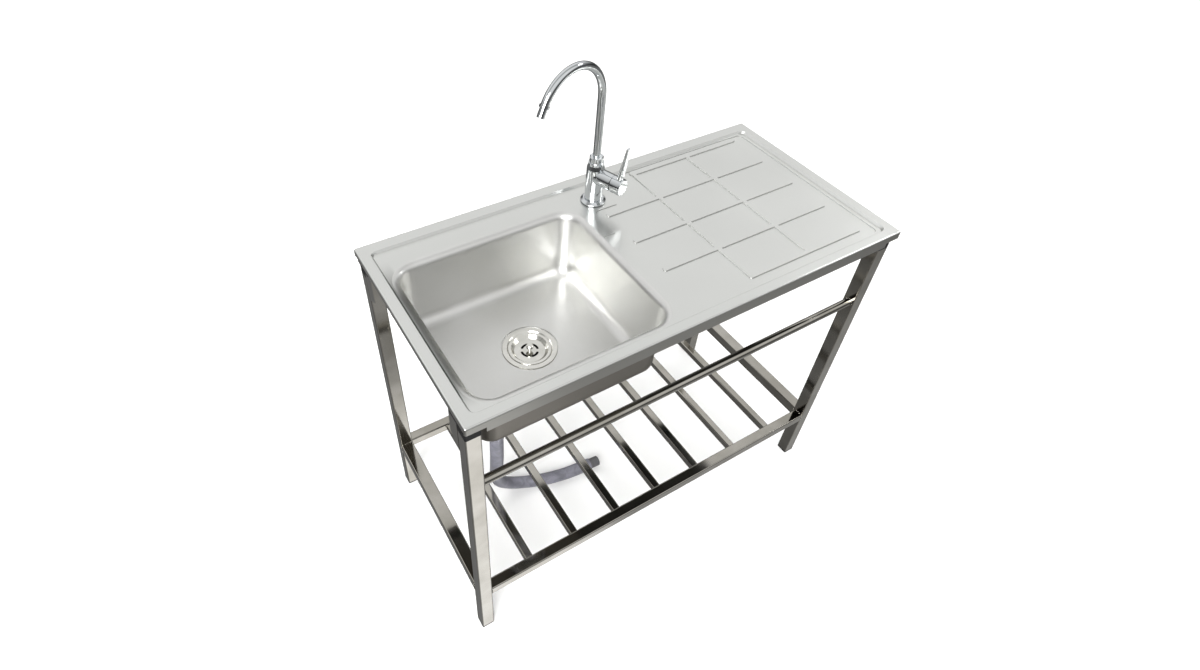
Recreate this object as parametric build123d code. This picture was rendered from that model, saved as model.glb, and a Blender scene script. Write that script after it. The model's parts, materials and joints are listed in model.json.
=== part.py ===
"""Free-standing kitchen sink unit: steel deck with one bowl and a ribbed drainboard on a tube stand.

Millimetres, +Z up. The origin lies on the floor under the middle of the deck.
+X runs to the drainboard end, -Y is the side where the user stands.
"""

import math
import os

from build123d import *

# ---- Deck, a pressed sheet with a turned-down skirt --------------------------------------------
DECK_LENGTH = 1000.0
DECK_DEPTH = 490.0
DECK_HEIGHT = 800.0
DECK_SHEET = 1.0
DECK_CORNER_RADIUS = 4.0
DECK_EDGE_RADIUS = 3.5
SKIRT_FRONT = 28.0
SKIRT_CORNER = 17.0
SKIRT_SIDE = 12.0
SKIRT_RELIEF = 38.0
MARGIN_SIDE = 22.0
MARGIN_FRONT = 21.0
MARGIN_BACK = 27.0
RECESS_DEPTH = 5.0
RECESS_SLOPE = 38.0
RECESS_CORNER_RADIUS = 14.0

# ---- Drainboard: a shallow tray with pressed ribs ----------------------------------------------
TRAY_FROM_BOWL = 30.0
TRAY_END_GAP = 14.0
TRAY_SIDE_GAP = 8.0
TRAY_DEPTH = 1.6
TRAY_SLOPE = 30.0
TRAY_CORNER_RADIUS = 12.0
CHANNEL_START = 37.5
CHANNEL_WIDTH = 225.0
RIB_WIDTH = 12.0
RIB_RISE = 2.2
RIB_SLOPE = 32.0
RIB_START_GAP = 16.0
RIB_END_GAP = 31.0
RIB_ROWS = 4
RIB_ROW_GAP = 24.0
CROSS_RIB_START = 155.0
CROSS_RIB_PITCH = 153.0
CROSS_RIBS = 2
BACK_RIB_WIDTH = 17.0
BACK_RIB_GAP = 10.0

# ---- Bowl --------------------------------------------------------------------------------------
BOWL_SHEET = 1.0
BOWL_LENGTH = 420.0
BOWL_WIDTH = 380.5
BOWL_END_GAP = 30.0
BOWL_FRONT_GAP = 27.5
BOWL_RIM_RADIUS = 14.0
BOWL_RIM_LIP = 1.0
BOWL_CORNER_RADIUS = 54.0
BOWL_FLOOR_COVE = 26.0
BOWL_DEPTH = 152.0
BOWL_TAPER = 2.3
DRAIN_FROM_END = 212.0
DRAIN_FROM_FRONT = 192.5
DRAIN_SEAT_RADIUS = 58.0
DRAIN_SEAT_DEPTH = 2.5
DRAIN_HOLE_RADIUS = 44.5

# ---- Basket strainer and waste fittings --------------------------------------------------------
FLANGE_RADIUS = 56.0
FLANGE_THICKNESS = 2.2
FLANGE_EDGE = 1.0
MOUTH_SLOPE_WIDTH = 3.0
MOUTH_SLOPE_DROP = 2.0
CUP_RADIUS = 43.0
CUP_WALL = 1.6
CUP_DEPTH = 48.0
CUP_BEVEL = 8.0
OUTLET_RADIUS = 22.0
OUTLET_BORE = 18.0
OUTLET_LENGTH = 20.0
WASHER_THICKNESS = 3.0
WASHER_SETBACK = 1.0
LOCKNUT_HEIGHT = 11.0
LOCKNUT_RADIUS = 56.0
LOCKNUT_LUGS = 8
LOCKNUT_LUG_PROUD = 5.0
LOCKNUT_LUG_LENGTH = 12.0
LOCKNUT_LUG_WIDTH = 9.0
BASKET_RADIUS = 40.2
BASKET_WALL = 1.0
BASKET_DEPTH = 30.0
BASKET_RIM_RADIUS = 42.8
BASKET_SLOTS = 4
BASKET_SLOT_RADIUS = 16.5
BASKET_SLOT_WIDTH = 5.0
BASKET_SLOT_SPAN = 48.0
BASKET_SLOT_TURN = 15.0
BASKET_HOLES = 12
BASKET_HOLE_RADIUS = 2.6
BASKET_HOLE_DROP = 19.5
BASKET_DIP = 6.5
BASKET_DIP_GAP = 2.5
BASKET_STAND = 1.1
SEAL_THICKNESS = 5.0
KNOB_RADIUS = 7.5
KNOB_TOP = 9.2
KNOB_THICKNESS = 6.0
KNOB_UNDERCUT = 1.0
KNOB_EDGE = 2.0
POST_RADIUS = 3.0
PIPE_RADIUS = 19.0
PIPE_BORE = 16.5
OFFSET_X = -77.0
OFFSET_Y = 11.0
OFFSET_DROP = 147.5
OFFSET_START = 44.0
OFFSET_FINISH = 32.0
OFFSET_BEND_RADIUS = 58.0
CUFF_NUT_RADIUS = 22.5
CUFF_NUT_HEIGHT = 32.0
CUFF_NUT_LAP = 3.0
CUFF_NUT_EDGE = 1.0
CUFF_LENGTH = 53.0
CUFF_WALL = 3.0
CUFF_PROUD = 0.6
PIPE_BEAD = 3.0
NUT_WALL = 4.5
OUTLET_NUT_GRIP = 12.0
NUT_LUG = 4.0
NUT_LUGS = 8

# ---- Waste hose: its centre line's points, chosen by hand. The first two numbers of each run from
# ---- the cuff's axis, and the third is the height above the centre line of the hose on the floor.
HOSE_RADIUS = 16.0
HOSE_ROUTE = [
    (0.0, 0.0, 356.0),
    (0.0, 0.0, 302.0),
    (4.0, 12.0, 234.0),
    (12.0, 34.0, 160.0),
    (21.0, 51.0, 101.0),
    (35.0, 62.0, 58.0),
    (60.0, 66.0, 25.0),
    (96.0, 60.0, 5.0),
    (140.0, 45.0, 0.0),
    (188.0, 31.0, 0.0),
    (239.0, 22.5, 0.0),
    (289.0, 19.0, 0.0),
]
HOSE_TIP_RADIUS = 13.5
HOSE_TIP_BORE = 11.0
HOSE_TIP_LENGTH = 27.0
HOSE_TIP_SHOULDER = 5.0
HOSE_TIP_EDGE = 1.5
HOSE_TIP_SETBACK = 0.5
HOSE_BEND_SHARE = 0.45

# ---- Stand -------------------------------------------------------------------------------------
LEG_SIZE = 30.0
LEG_INSET_X = 4.0
LEG_INSET_Y = 11.0
LEG_DROP = 48.0
TUBE_WALL = 1.2
TUBE_CORNER = 3.0
FOOT_FLANGE = 4.0
PLUG_LENGTH = 24.0
COLLAR_HEIGHT = 24.0
TONGUE_LENGTH = 54.0
TONGUE_HEIGHT = 11.0
TONGUE_PROUD = 2.5
PAD_WIDTH = 10.0
PAD_OUTER_GAP = 7.0
PAD_INNER_GAP = 3.0
BRACKET_WIDTH = 31.0
BRACKET_DROP = 65.0
BRACKET_SLANT = 19.0
BRACKET_SHEET = 1.5
BRACKET_FLANGE = 22.0
SCREW_RADIUS = 2.5
SCREW_LENGTH = 9.0
SCREW_TIP = 0.8
SCREW_OFFSET = 1.0
SCREW_HEAD_RADIUS = 4.6
SCREW_HEAD_HEIGHT = 2.4
SCREW_HEAD_EDGE = 1.3
MID_RAIL_RADIUS = 9.5
MID_RAIL_DROP = 209.0
MID_RAIL_SETBACK = 15.0
SHELF_SIDE_SIZE = 30.0
SHELF_SIDE_TOP = 178.0
SHELF_RAIL_SIZE = 25.0
SHELF_RAIL_TOP = 176.0
SLAT_SIZE = 19.0
SLAT_TOP = 172.0
SLAT_COUNT = 7
SLAT_END_GAP = 106.0

# ---- Mixer tap -----------------------------------------------------------------------------------
TAP_FROM_BOWL = 51.3
TAP_FROM_BACK = 86.0
TAP_LEDGE = 36.0
TAP_HOLE_RADIUS = 15.5
TAP_FLANGE_RADIUS = 27.0
TAP_FLANGE_HEIGHT = 9.0
TAP_FLANGE_EDGE = 4.5
TAP_FLANGE_LAND = 3.0
TAP_GASKET = 1.5
TAP_GASKET_SETBACK = 1.0
TAP_BODY_RADIUS = 19.0
TAP_NECK_RADIUS = 16.5
TAP_BODY_HEIGHT = 97.0
TAP_SHOULDER = 9.0
SHANK_RADIUS = 14.0
SHANK_LENGTH = 46.0
INLET_RADIUS = 5.0
INLET_DEPTH = 20.0
INLET_SPACING = 13.0
SHANK_NUT_RADIUS = 22.0
SHANK_NUT_HEIGHT = 8.0
SHANK_WASHER = 2.5
SHANK_WASHER_PROUD = 3.0
SPOUT_RADIUS = 8.0
SPOUT_WALL = 1.2
SPOUT_BEND_RADIUS = 84.0
SPOUT_RISE = 244.0
SPOUT_BEND_ANGLE = 152.0
SPOUT_HEADING = -164.5
SPOUT_SOCKET = 26.0
SPOUT_FOOT_GAP = 1.0
SPOUT_BUSH_LENGTH = 16.0
SPOUT_BUSH_WALL = 2.0
SPOUT_CLEARANCE = 0.3
COLLAR_NUT_RADIUS = 14.5
COLLAR_NUT_HEIGHT = 14.0
COLLAR_NUT_EDGE = 2.0
AERATOR_RADIUS = 9.8
AERATOR_LENGTH = 23.0
AERATOR_RING = 5.0
AERATOR_STEP = 0.5
AERATOR_WALL = 2.4
AERATOR_SCREEN_DEPTH = 6.0
HANDLE_HEADING = -71.0
HANDLE_HEIGHT = 65.0
HOUSING_RADIUS = 18.0
HOUSING_END = 46.0
HOUSING_EDGE = 0.8
CARTRIDGE_RADIUS = 16.0
CARTRIDGE_START = 14.0
CARTRIDGE_BORE = 3.6
COVER_START = 40.0
PIVOT_OFFSET = 44.0
DOME_RADIUS = 14.0
DOME_WALL = 2.0
DOME_REACH = 10.0
DOME_MOUTH = 8.5
CARRIER_RADIUS = 9.0
CARRIER_REACH = 18.0
CARRIER_NOSE = 4.0
CARRIER_PLAY = 0.3
STEM_SIZE = 7.0
STEM_TAIL = 6.0
STEM_TAIL_GAP = 2.0
STEM_CLEARANCE = 0.3
PIN_RADIUS = 1.5
PIN_SETBACK = 1.0
SET_SCREW_RADIUS = 2.0
SET_SCREW_SETBACK = 1.0
HUB_RADIUS = 18.0
HUB_END = 71.0
HUB_EDGE = 1.8
HUB_CLEARANCE = 0.6
HUB_SOCKET_END = 65.0
HUB_GAP_TOP = 0.8
HUB_GAP_BOTTOM = 5.6
LEVER_RISE = 93.0
LEVER_LEAN = 13.0
LEVER_WIDTH = 15.0
LEVER_THICKNESS = 11.0
LEVER_TAPER = 2.0
LEVER_ROUND = 3.8
LEVER_OFFSET = 61.0
LEVER_ROOT = 8.0

# ---- Clearances shared by more than one fit, and how far a cutter runs past what it cuts ----------
FIT_CLEARANCE = 0.2
THREAD_CLEARANCE = 0.3
MOVING_CLEARANCE = 0.5
CUT_MARGIN = 1.0

# ---- Levels and places that follow from the sizes above ------------------------------------------
half_length = DECK_LENGTH / 2
half_depth = DECK_DEPTH / 2
ledge_top = DECK_HEIGHT - RECESS_DEPTH
ledge_underside = ledge_top - DECK_SHEET
tray_right = half_length - MARGIN_SIDE - TRAY_END_GAP
tray_front = MARGIN_FRONT + TRAY_SIDE_GAP - half_depth
tray_back = half_depth - MARGIN_BACK - TRAY_SIDE_GAP
bowl_left = BOWL_END_GAP - half_length
bowl_right = bowl_left + BOWL_LENGTH
bowl_front = BOWL_FRONT_GAP - half_depth
bowl_back = bowl_front + BOWL_WIDTH
tray_left = bowl_right + TRAY_FROM_BOWL
tap_x = bowl_right + TAP_FROM_BOWL
tap_y = half_depth - TAP_FROM_BACK
drain_x = bowl_left + DRAIN_FROM_END
drain_y = bowl_front + DRAIN_FROM_FRONT
bowl_floor = ledge_top - BOWL_DEPTH
seat_top = bowl_floor - DRAIN_SEAT_DEPTH
seat_underside = seat_top - BOWL_SHEET
cup_bottom = seat_top - CUP_DEPTH
outlet_end = cup_bottom - OUTLET_LENGTH
offset_pipe_end = outlet_end - OFFSET_DROP
cuff_end = offset_pipe_end - CUFF_LENGTH
cuff_x = drain_x + OFFSET_X
cuff_y = drain_y + OFFSET_Y
basket_level = seat_top + BASKET_STAND
rib_rows_front = tray_front + RIB_ROW_GAP
rib_rows_back = tap_y - TAP_LEDGE - RIB_ROW_GAP
leg_x = half_length - LEG_INSET_X - LEG_SIZE / 2
leg_y = half_depth - LEG_INSET_Y - LEG_SIZE / 2
leg_inner_x = leg_x - LEG_SIZE / 2
leg_inner_y = leg_y - LEG_SIZE / 2
leg_outer_y = leg_y + LEG_SIZE / 2
leg_bore = LEG_SIZE - 2 * TUBE_WALL
leg_top = DECK_HEIGHT - LEG_DROP
collar_top = leg_top + COLLAR_HEIGHT
tongue_top = collar_top + TONGUE_HEIGHT
mid_rail_level = DECK_HEIGHT - MID_RAIL_DROP
CORNERS = {"front_left": (-1, -1), "front_right": (1, -1), "back_left": (-1, 1), "back_right": (1, 1)}
LOW = (Align.CENTER, Align.CENTER, Align.MIN)


def write(name, shape):
    """Write one sub-part, which may be a group of separate solids, as parts/name.step."""
    shape.label = name
    export_step(shape, f"parts/{name}.step")


def group(shapes):
    """Gather separate solids in one compound."""
    return Compound(children=list(shapes))


def rounded_block(left, right, front, back, radius, bottom, top, slope=0.0):
    """A block with rounded corners in plan, measured at its top, whose sides may slope inwards."""
    outline = Pos((left + right) / 2, (front + back) / 2, top) * RectangleRounded(
        right - left, back - front, radius
    )
    return extrude(outline, amount=bottom - top, taper=slope)


def square_tube(size, length, wall=TUBE_WALL, corner=TUBE_CORNER):
    """An upright square tube, from z = 0."""
    outer = RectangleRounded(size, size, corner)
    inner = Rectangle(size - 2 * wall, size - 2 * wall)
    return extrude(outer - inner, amount=length)


def ring(outer, inner, bottom, top):
    """A plain ring about Z."""
    return Pos(0, 0, bottom) * extrude(Circle(outer) - Circle(inner), amount=top - bottom)


def turned(points):
    """A solid of revolution about Z, from (radius, height) points joined by straight lines."""
    profile = Plane.XZ * make_face(Polyline(*points, close=True))
    return revolve(profile, Axis.Z)


# ---- Deck ----------------------------------------------------------------------------------------
def rib(start, end, width):
    """One pressed rib with round ends, standing on the tray."""
    length = math.dist(start, end) + width
    angle = math.degrees(math.atan2(end[1] - start[1], end[0] - start[0]))
    middle = ((start[0] + end[0]) / 2, (start[1] + end[1]) / 2)
    outline = Pos(*middle, ledge_top - TRAY_DEPTH) * Rot(0, 0, angle) * SlotOverall(length, width)
    return extrude(outline, amount=RIB_RISE, taper=RIB_SLOPE)


def deck_ribs():
    """All ribs of the drainboard: rows along it, and ribs across it that join the rows."""
    pitch = (rib_rows_back - rib_rows_front) / (RIB_ROWS - 1)
    rows = [rib_rows_front + pitch * n for n in range(RIB_ROWS)]
    crossings = [tray_left + CROSS_RIB_START + CROSS_RIB_PITCH * n for n in range(CROSS_RIBS)]
    first = tray_left + RIB_START_GAP + RIB_WIDTH / 2
    last = tray_right - RIB_END_GAP - RIB_WIDTH / 2
    back = tray_back - BACK_RIB_GAP
    ribs = [rib((crossings[0], rows[0]), (last, rows[0]), RIB_WIDTH)]
    ribs += [rib((first, y), (last, y), RIB_WIDTH) for y in rows[1:]]
    ribs += [rib((x, rows[0]), (x, back), RIB_WIDTH) for x in crossings]
    ribs.append(rib((crossings[0], back), (last, back), BACK_RIB_WIDTH))
    return ribs


def deck_press():
    """The solid under the deck's upper face, down past the skirt."""
    block = rounded_block(
        -half_length, half_length, -half_depth, half_depth,
        DECK_CORNER_RADIUS, DECK_HEIGHT - SKIRT_FRONT, DECK_HEIGHT,
    )
    block = fillet(block.faces().sort_by(Axis.Z)[-1].edges(), DECK_EDGE_RADIUS)
    recess = rounded_block(
        MARGIN_SIDE - half_length, half_length - MARGIN_SIDE,
        MARGIN_FRONT - half_depth, half_depth - MARGIN_BACK,
        RECESS_CORNER_RADIUS, ledge_top, DECK_HEIGHT, RECESS_SLOPE,
    )
    tray = rounded_block(
        tray_left, tray_right, tray_front, tap_y - TAP_LEDGE,
        TRAY_CORNER_RADIUS, ledge_top - TRAY_DEPTH, ledge_top, TRAY_SLOPE,
    )
    tray += rounded_block(
        tap_x + TAP_LEDGE, tray_right, 0, tray_back,
        TRAY_CORNER_RADIUS, ledge_top - TRAY_DEPTH, ledge_top, TRAY_SLOPE,
    )
    channel = rounded_block(
        bowl_right - BOWL_RIM_RADIUS, tray_left + 2 * TRAY_CORNER_RADIUS,
        bowl_front + CHANNEL_START, bowl_front + CHANNEL_START + CHANNEL_WIDTH,
        TRAY_CORNER_RADIUS, ledge_top - TRAY_DEPTH, ledge_top, TRAY_SLOPE,
    )
    return block - recess - (tray + channel) + deck_ribs()


def bowl_opening(bottom, top):
    """The block that clears the deck for the bowl's rim."""
    lip = BOWL_RIM_LIP
    return rounded_block(
        bowl_left - lip, bowl_right + lip, bowl_front - lip, bowl_back + lip,
        BOWL_CORNER_RADIUS + lip, bottom, top,
    )


def deck_top():
    """The deck sheet: its press form less the same form one sheet lower, inside the skirt."""
    press = deck_press()
    skirt_bottom = DECK_HEIGHT - SKIRT_FRONT
    inside = rounded_block(
        DECK_SHEET - half_length, half_length - DECK_SHEET, DECK_SHEET - half_depth, half_depth - DECK_SHEET,
        DECK_CORNER_RADIUS - DECK_SHEET, skirt_bottom - DECK_SHEET, DECK_HEIGHT,
    )
    sheet = press - (Pos(0, 0, -DECK_SHEET) * press & inside)
    sheet -= bowl_opening(skirt_bottom, DECK_HEIGHT)
    sheet -= Pos(tap_x, tap_y, skirt_bottom) * Cylinder(TAP_HOLE_RADIUS, SKIRT_FRONT, align=LOW)
    relief = Box(SKIRT_RELIEF, DECK_DEPTH + 2 * CUT_MARGIN, SKIRT_FRONT - SKIRT_CORNER, align=LOW)
    side_cut = Box(MARGIN_SIDE, DECK_DEPTH - 2 * DECK_CORNER_RADIUS, SKIRT_FRONT - SKIRT_SIDE, align=LOW)
    for side in (-1, 1):
        sheet -= Pos(side * half_length, 0, skirt_bottom) * side_cut
        sheet -= Pos(side * (half_length - SKIRT_RELIEF / 2), 0, skirt_bottom) * relief
    return sheet


# ---- Bowl ----------------------------------------------------------------------------------------
def bowl_section():
    """The sheet's section at one wall, drawn outwards from a corner's axis, with Z = 0 on the ledge.

    It has a flat lip, the quarter round of the rim, the leaning wall, the cove and the floor.
    """
    sheet, rim, cove = BOWL_SHEET, BOWL_RIM_RADIUS, BOWL_FLOOR_COVE
    lean = math.radians(BOWL_TAPER)
    edge, wall = BOWL_CORNER_RADIUS, BOWL_CORNER_RADIUS - rim
    inward, down = Vector(-math.cos(lean), math.sin(lean)), Vector(-math.sin(lean), -math.cos(lean))
    drop = (BOWL_DEPTH - rim - cove + cove * math.sin(lean)) / math.cos(lean)
    foot = Vector(wall, -rim) + down * drop
    centre = foot + inward * cove
    outer_foot = foot - inward * sheet
    arc_start, arc_size = -BOWL_TAPER, BOWL_TAPER - 90
    return make_face([
        Line((0, -BOWL_DEPTH), (centre.X, -BOWL_DEPTH)),
        CenterArc((centre.X, centre.Y), cove, arc_start, arc_size),
        Line((foot.X, foot.Y), (wall, -rim)),
        CenterArc((edge, -rim), rim, 90, 90),
        Line((edge, 0), (edge + BOWL_RIM_LIP, 0)),
        Line((edge + BOWL_RIM_LIP, 0), (edge + BOWL_RIM_LIP, -sheet)),
        Line((edge + BOWL_RIM_LIP, -sheet), (edge, -sheet)),
        CenterArc((edge, -rim), rim - sheet, 90, 90),
        Line((wall + sheet, -rim), (outer_foot.X, outer_foot.Y)),
        CenterArc((centre.X, centre.Y), cove + sheet, arc_start, arc_size),
        Line((centre.X, -BOWL_DEPTH - sheet), (0, -BOWL_DEPTH - sheet)),
        Line((0, -BOWL_DEPTH - sheet), (0, -BOWL_DEPTH)),
    ])


def bowl():
    """The bowl's shell: its section turned at the corners and run along the sides, with the drain's seat."""
    section = Plane.XZ * bowl_section()
    left, right = bowl_left + BOWL_CORNER_RADIUS, bowl_right - BOWL_CORNER_RADIUS
    front, back = bowl_front + BOWL_CORNER_RADIUS, bowl_back - BOWL_CORNER_RADIUS
    corners = [(right, back), (left, back), (left, front), (right, front)]
    shell = Pos(left, front, bowl_floor) * Box(
        right - left, back - front, BOWL_SHEET, align=(Align.MIN, Align.MIN, Align.MAX)
    )
    for n, corner in enumerate(corners):
        turn = Rot(0, 0, 90 * n)
        start = corners[n - 1]
        side = extrude(section, amount=math.dist(start, corner), dir=(0, 1, 0))
        shell += Pos(*corner, ledge_top) * turn * revolve(section, Axis.Z, 90)
        shell += Pos(*start, ledge_top) * turn * side
    drain = Pos(drain_x, drain_y, seat_underside)
    shell += drain * Cylinder(DRAIN_SEAT_RADIUS + BOWL_SHEET, DRAIN_SEAT_DEPTH + BOWL_SHEET, align=LOW)
    shell -= Pos(0, 0, BOWL_SHEET) * drain * Cylinder(DRAIN_SEAT_RADIUS, BOWL_DEPTH, align=LOW)
    return shell - drain * Cylinder(DRAIN_HOLE_RADIUS, 2 * BOWL_SHEET, align=LOW)


# ---- Basket strainer, at the drain ---------------------------------------------------------------
def strainer_body():
    """The strainer's flange, its cup and the outlet below it."""
    mouth, wall, bevel = CUP_RADIUS, CUP_WALL, CUP_BEVEL
    outlet_level = -CUP_DEPTH - OUTLET_LENGTH
    cup = turned([
        (FLANGE_RADIUS, 0), (FLANGE_RADIUS - FLANGE_EDGE, FLANGE_THICKNESS),
        (mouth + MOUTH_SLOPE_WIDTH, FLANGE_THICKNESS), (mouth - wall, -MOUTH_SLOPE_DROP),
        (mouth - wall, bevel - CUP_DEPTH), (mouth - bevel, wall - CUP_DEPTH),
        (OUTLET_BORE, wall - CUP_DEPTH), (OUTLET_BORE, outlet_level), (OUTLET_RADIUS, outlet_level),
        (OUTLET_RADIUS, -CUP_DEPTH), (mouth - bevel, -CUP_DEPTH), (mouth, bevel - CUP_DEPTH), (mouth, 0),
    ])
    return Pos(drain_x, drain_y, seat_top) * cup


def strainer_washer():
    """The rubber ring under the bowl's floor."""
    washer = ring(LOCKNUT_RADIUS - WASHER_SETBACK, CUP_RADIUS + THREAD_CLEARANCE, -WASHER_THICKNESS, 0)
    return Pos(drain_x, drain_y, seat_underside) * washer


def strainer_locknut():
    """The moulded nut that clamps the strainer, with lugs for the hand."""
    length = LOCKNUT_LUG_LENGTH
    nut = ring(LOCKNUT_RADIUS - LOCKNUT_LUG_PROUD, CUP_RADIUS + THREAD_CLEARANCE, -LOCKNUT_HEIGHT, 0)
    lug = Pos(LOCKNUT_RADIUS - length / 2, 0, -LOCKNUT_HEIGHT) * Box(
        length, LOCKNUT_LUG_WIDTH, LOCKNUT_HEIGHT, align=LOW
    )
    for n in range(LOCKNUT_LUGS):
        nut += Rot(0, 0, n * 360 / LOCKNUT_LUGS) * lug
    return Pos(drain_x, drain_y, seat_underside - WASHER_THICKNESS) * nut


def basket_cup():
    """The lift-out basket: a shallow cup with arc slots round its post, a rim and holes in its side."""
    rim, radius, wall = BASKET_RIM_RADIUS, BASKET_RADIUS - BASKET_DIP_GAP, BASKET_WALL
    dip = BASKET_DIP
    cup = turned([
        (0, -dip), (radius - dip, -dip), (radius, 0), (rim, 0), (rim, -wall), (radius + wall / 2, -wall),
        (radius - BASKET_DIP_GAP, -dip), (radius - BASKET_DIP_GAP, -BASKET_DEPTH),
        (radius - BASKET_DIP_GAP - wall, -BASKET_DEPTH), (radius - BASKET_DIP_GAP - wall, -dip - wall),
        (0, -dip - wall),
    ])
    arc = CenterArc((0, 0, 0), BASKET_SLOT_RADIUS, -BASKET_SLOT_SPAN / 2, BASKET_SLOT_SPAN)
    slot = Pos(0, 0, -dip - 2 * wall) * extrude(SlotArc(arc, BASKET_SLOT_WIDTH), amount=3 * wall)
    for n in range(BASKET_SLOTS):
        cup -= Rot(0, 0, BASKET_SLOT_TURN + n * 360 / BASKET_SLOTS) * slot
    hole = Pos(radius - BASKET_DIP_GAP, 0, -BASKET_HOLE_DROP) * Rot(0, 90, 0) * Cylinder(
        BASKET_HOLE_RADIUS, 4 * wall
    )
    for n in range(BASKET_HOLES):
        cup -= Rot(0, 0, (n + 0.5) * 360 / BASKET_HOLES) * hole
    return Pos(drain_x, drain_y, basket_level) * cup


def basket_knob():
    """The post and knob that the fingers lift."""
    radius, post, top, edge = KNOB_RADIUS, POST_RADIUS, KNOB_TOP, KNOB_EDGE
    under = top - KNOB_THICKNESS
    knob = turned([
        (0, -BASKET_DIP), (post, -BASKET_DIP), (post, under), (radius, under + KNOB_UNDERCUT),
        (radius, top - edge), (radius - edge, top), (0, top),
    ])
    return Pos(drain_x, drain_y, basket_level) * knob


def basket_seal():
    """The rubber stopper under the basket's skirt."""
    skirt = BASKET_RADIUS - 2 * BASKET_DIP_GAP
    seal = Pos(0, 0, -BASKET_DEPTH - SEAL_THICKNESS) * Cylinder(skirt, SEAL_THICKNESS, align=LOW)
    return Pos(drain_x, drain_y, basket_level) * seal


def offset_pipe():
    """The rigid waste pipe: down from the strainer, sideways, and down again to the hose."""
    points = [
        (drain_x, drain_y, outlet_end), (drain_x, drain_y, outlet_end - OFFSET_START),
        (cuff_x, cuff_y, offset_pipe_end + OFFSET_FINISH), (cuff_x, cuff_y, offset_pipe_end),
    ]
    path = FilletPolyline(*points, radius=OFFSET_BEND_RADIUS)
    section = Plane(origin=points[0], z_dir=(0, 0, -1)) * (Circle(PIPE_RADIUS) - Circle(PIPE_BORE))
    bead = ring(OUTLET_RADIUS, PIPE_BORE, outlet_end - PIPE_BEAD, outlet_end)
    return sweep(section, path=path) + Pos(drain_x, drain_y, 0) * bead


def outlet_nut():
    """The nut that holds the offset pipe against the strainer's outlet."""
    outer, bead_bottom = OUTLET_RADIUS + NUT_WALL, -PIPE_BEAD
    bore, neck = OUTLET_RADIUS + THREAD_CLEARANCE, PIPE_RADIUS + THREAD_CLEARANCE
    nut = turned([
        (bore, OUTLET_NUT_GRIP), (outer, OUTLET_NUT_GRIP), (outer, bead_bottom - NUT_WALL),
        (neck, bead_bottom - NUT_WALL), (neck, bead_bottom), (bore, bead_bottom),
    ])
    lug = Box(NUT_LUG, NUT_LUG, OUTLET_NUT_GRIP + PIPE_BEAD, align=LOW)
    for n in range(NUT_LUGS):
        nut += Rot(0, 0, n * 360 / NUT_LUGS) * Pos(outer, 0, bead_bottom) * lug
    return Pos(drain_x, drain_y, outlet_end) * nut


def cuff_nut():
    """The nut that joins the offset pipe and the hose's cuff."""
    top, bore = CUFF_NUT_LAP, PIPE_RADIUS + THREAD_CLEARANCE
    low, edge = CUFF_NUT_LAP - CUFF_NUT_HEIGHT, CUFF_NUT_EDGE
    nut = turned([
        (bore, top), (CUFF_NUT_RADIUS - edge, top), (CUFF_NUT_RADIUS, top - 2 * edge),
        (CUFF_NUT_RADIUS, low + edge), (CUFF_NUT_RADIUS - edge, low), (bore, low),
    ])
    return Pos(cuff_x, cuff_y, offset_pipe_end) * nut


def hose_cuff():
    """The tapered rubber cuff at the top of the hose, inside the nut."""
    bore, shoulder = HOSE_RADIUS - CUFF_WALL, -CUFF_NUT_HEIGHT
    cuff = turned([
        (bore, 0), (PIPE_RADIUS, 0), (PIPE_RADIUS, shoulder), (HOSE_RADIUS + CUFF_PROUD, -CUFF_LENGTH),
        (bore, -CUFF_LENGTH),
    ])
    return Pos(cuff_x, cuff_y, offset_pipe_end) * cuff


def hose_route():
    """The hose's points in place: from the cuff's end down, in step with its height, and on the floor."""
    stretch = (cuff_end - HOSE_RADIUS) / HOSE_ROUTE[0][2]
    return [(cuff_x + x, cuff_y + y, HOSE_RADIUS + rise * stretch) for x, y, rise in HOSE_ROUTE]


def hose_radii(points):
    """A bend radius for each inner point of a route: as large as its two runs allow."""
    radii = []
    for before, here, after in zip(points, points[1:], points[2:]):
        first, second = Vector(*here) - Vector(*before), Vector(*after) - Vector(*here)
        half_turn = math.radians(first.get_angle(second)) / 2
        radii.append(HOSE_BEND_SHARE * min(first.length, second.length) / math.tan(half_turn))
    return radii


def drain_hose():
    """The waste hose, as a plain tube along its route."""
    points = hose_route()
    radii = hose_radii(points)
    path = FilletPolyline(*points, radius=radii)
    hose = sweep(Plane(origin=points[0], z_dir=(0, 0, -1)) * Circle(HOSE_RADIUS), path=path)
    print("hose length", round(path.length, 1), "bend radii", [round(r) for r in radii])
    print("hose volume over section times length", hose.volume / (math.pi * HOSE_RADIUS**2 * path.length))
    return hose


def hose_tip():
    """The darker end sleeve, in line with the hose's last run."""
    before, end = (Vector(*point) for point in hose_route()[-2:])
    edge = HOSE_TIP_EDGE
    sleeve = turned([
        (HOSE_TIP_BORE, 0), (HOSE_RADIUS - HOSE_TIP_SETBACK, 0), (HOSE_TIP_RADIUS, HOSE_TIP_SHOULDER),
        (HOSE_TIP_RADIUS, HOSE_TIP_LENGTH - edge), (HOSE_TIP_RADIUS - edge, HOSE_TIP_LENGTH),
        (HOSE_TIP_BORE, HOSE_TIP_LENGTH),
    ])
    return Plane(origin=end, z_dir=end - before) * sleeve


# ---- Stand ---------------------------------------------------------------------------------------
def leg(side, face):
    """One leg tube, from its foot to the connector under the deck."""
    return Pos(side * leg_x, face * leg_y, FOOT_FLANGE) * square_tube(LEG_SIZE, leg_top - FOOT_FLANGE)


def tube_plug(height):
    """A plug that fits in a leg's bore."""
    size = leg_bore - 2 * FIT_CLEARANCE
    return extrude(Rectangle(size, size), amount=height)


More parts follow.
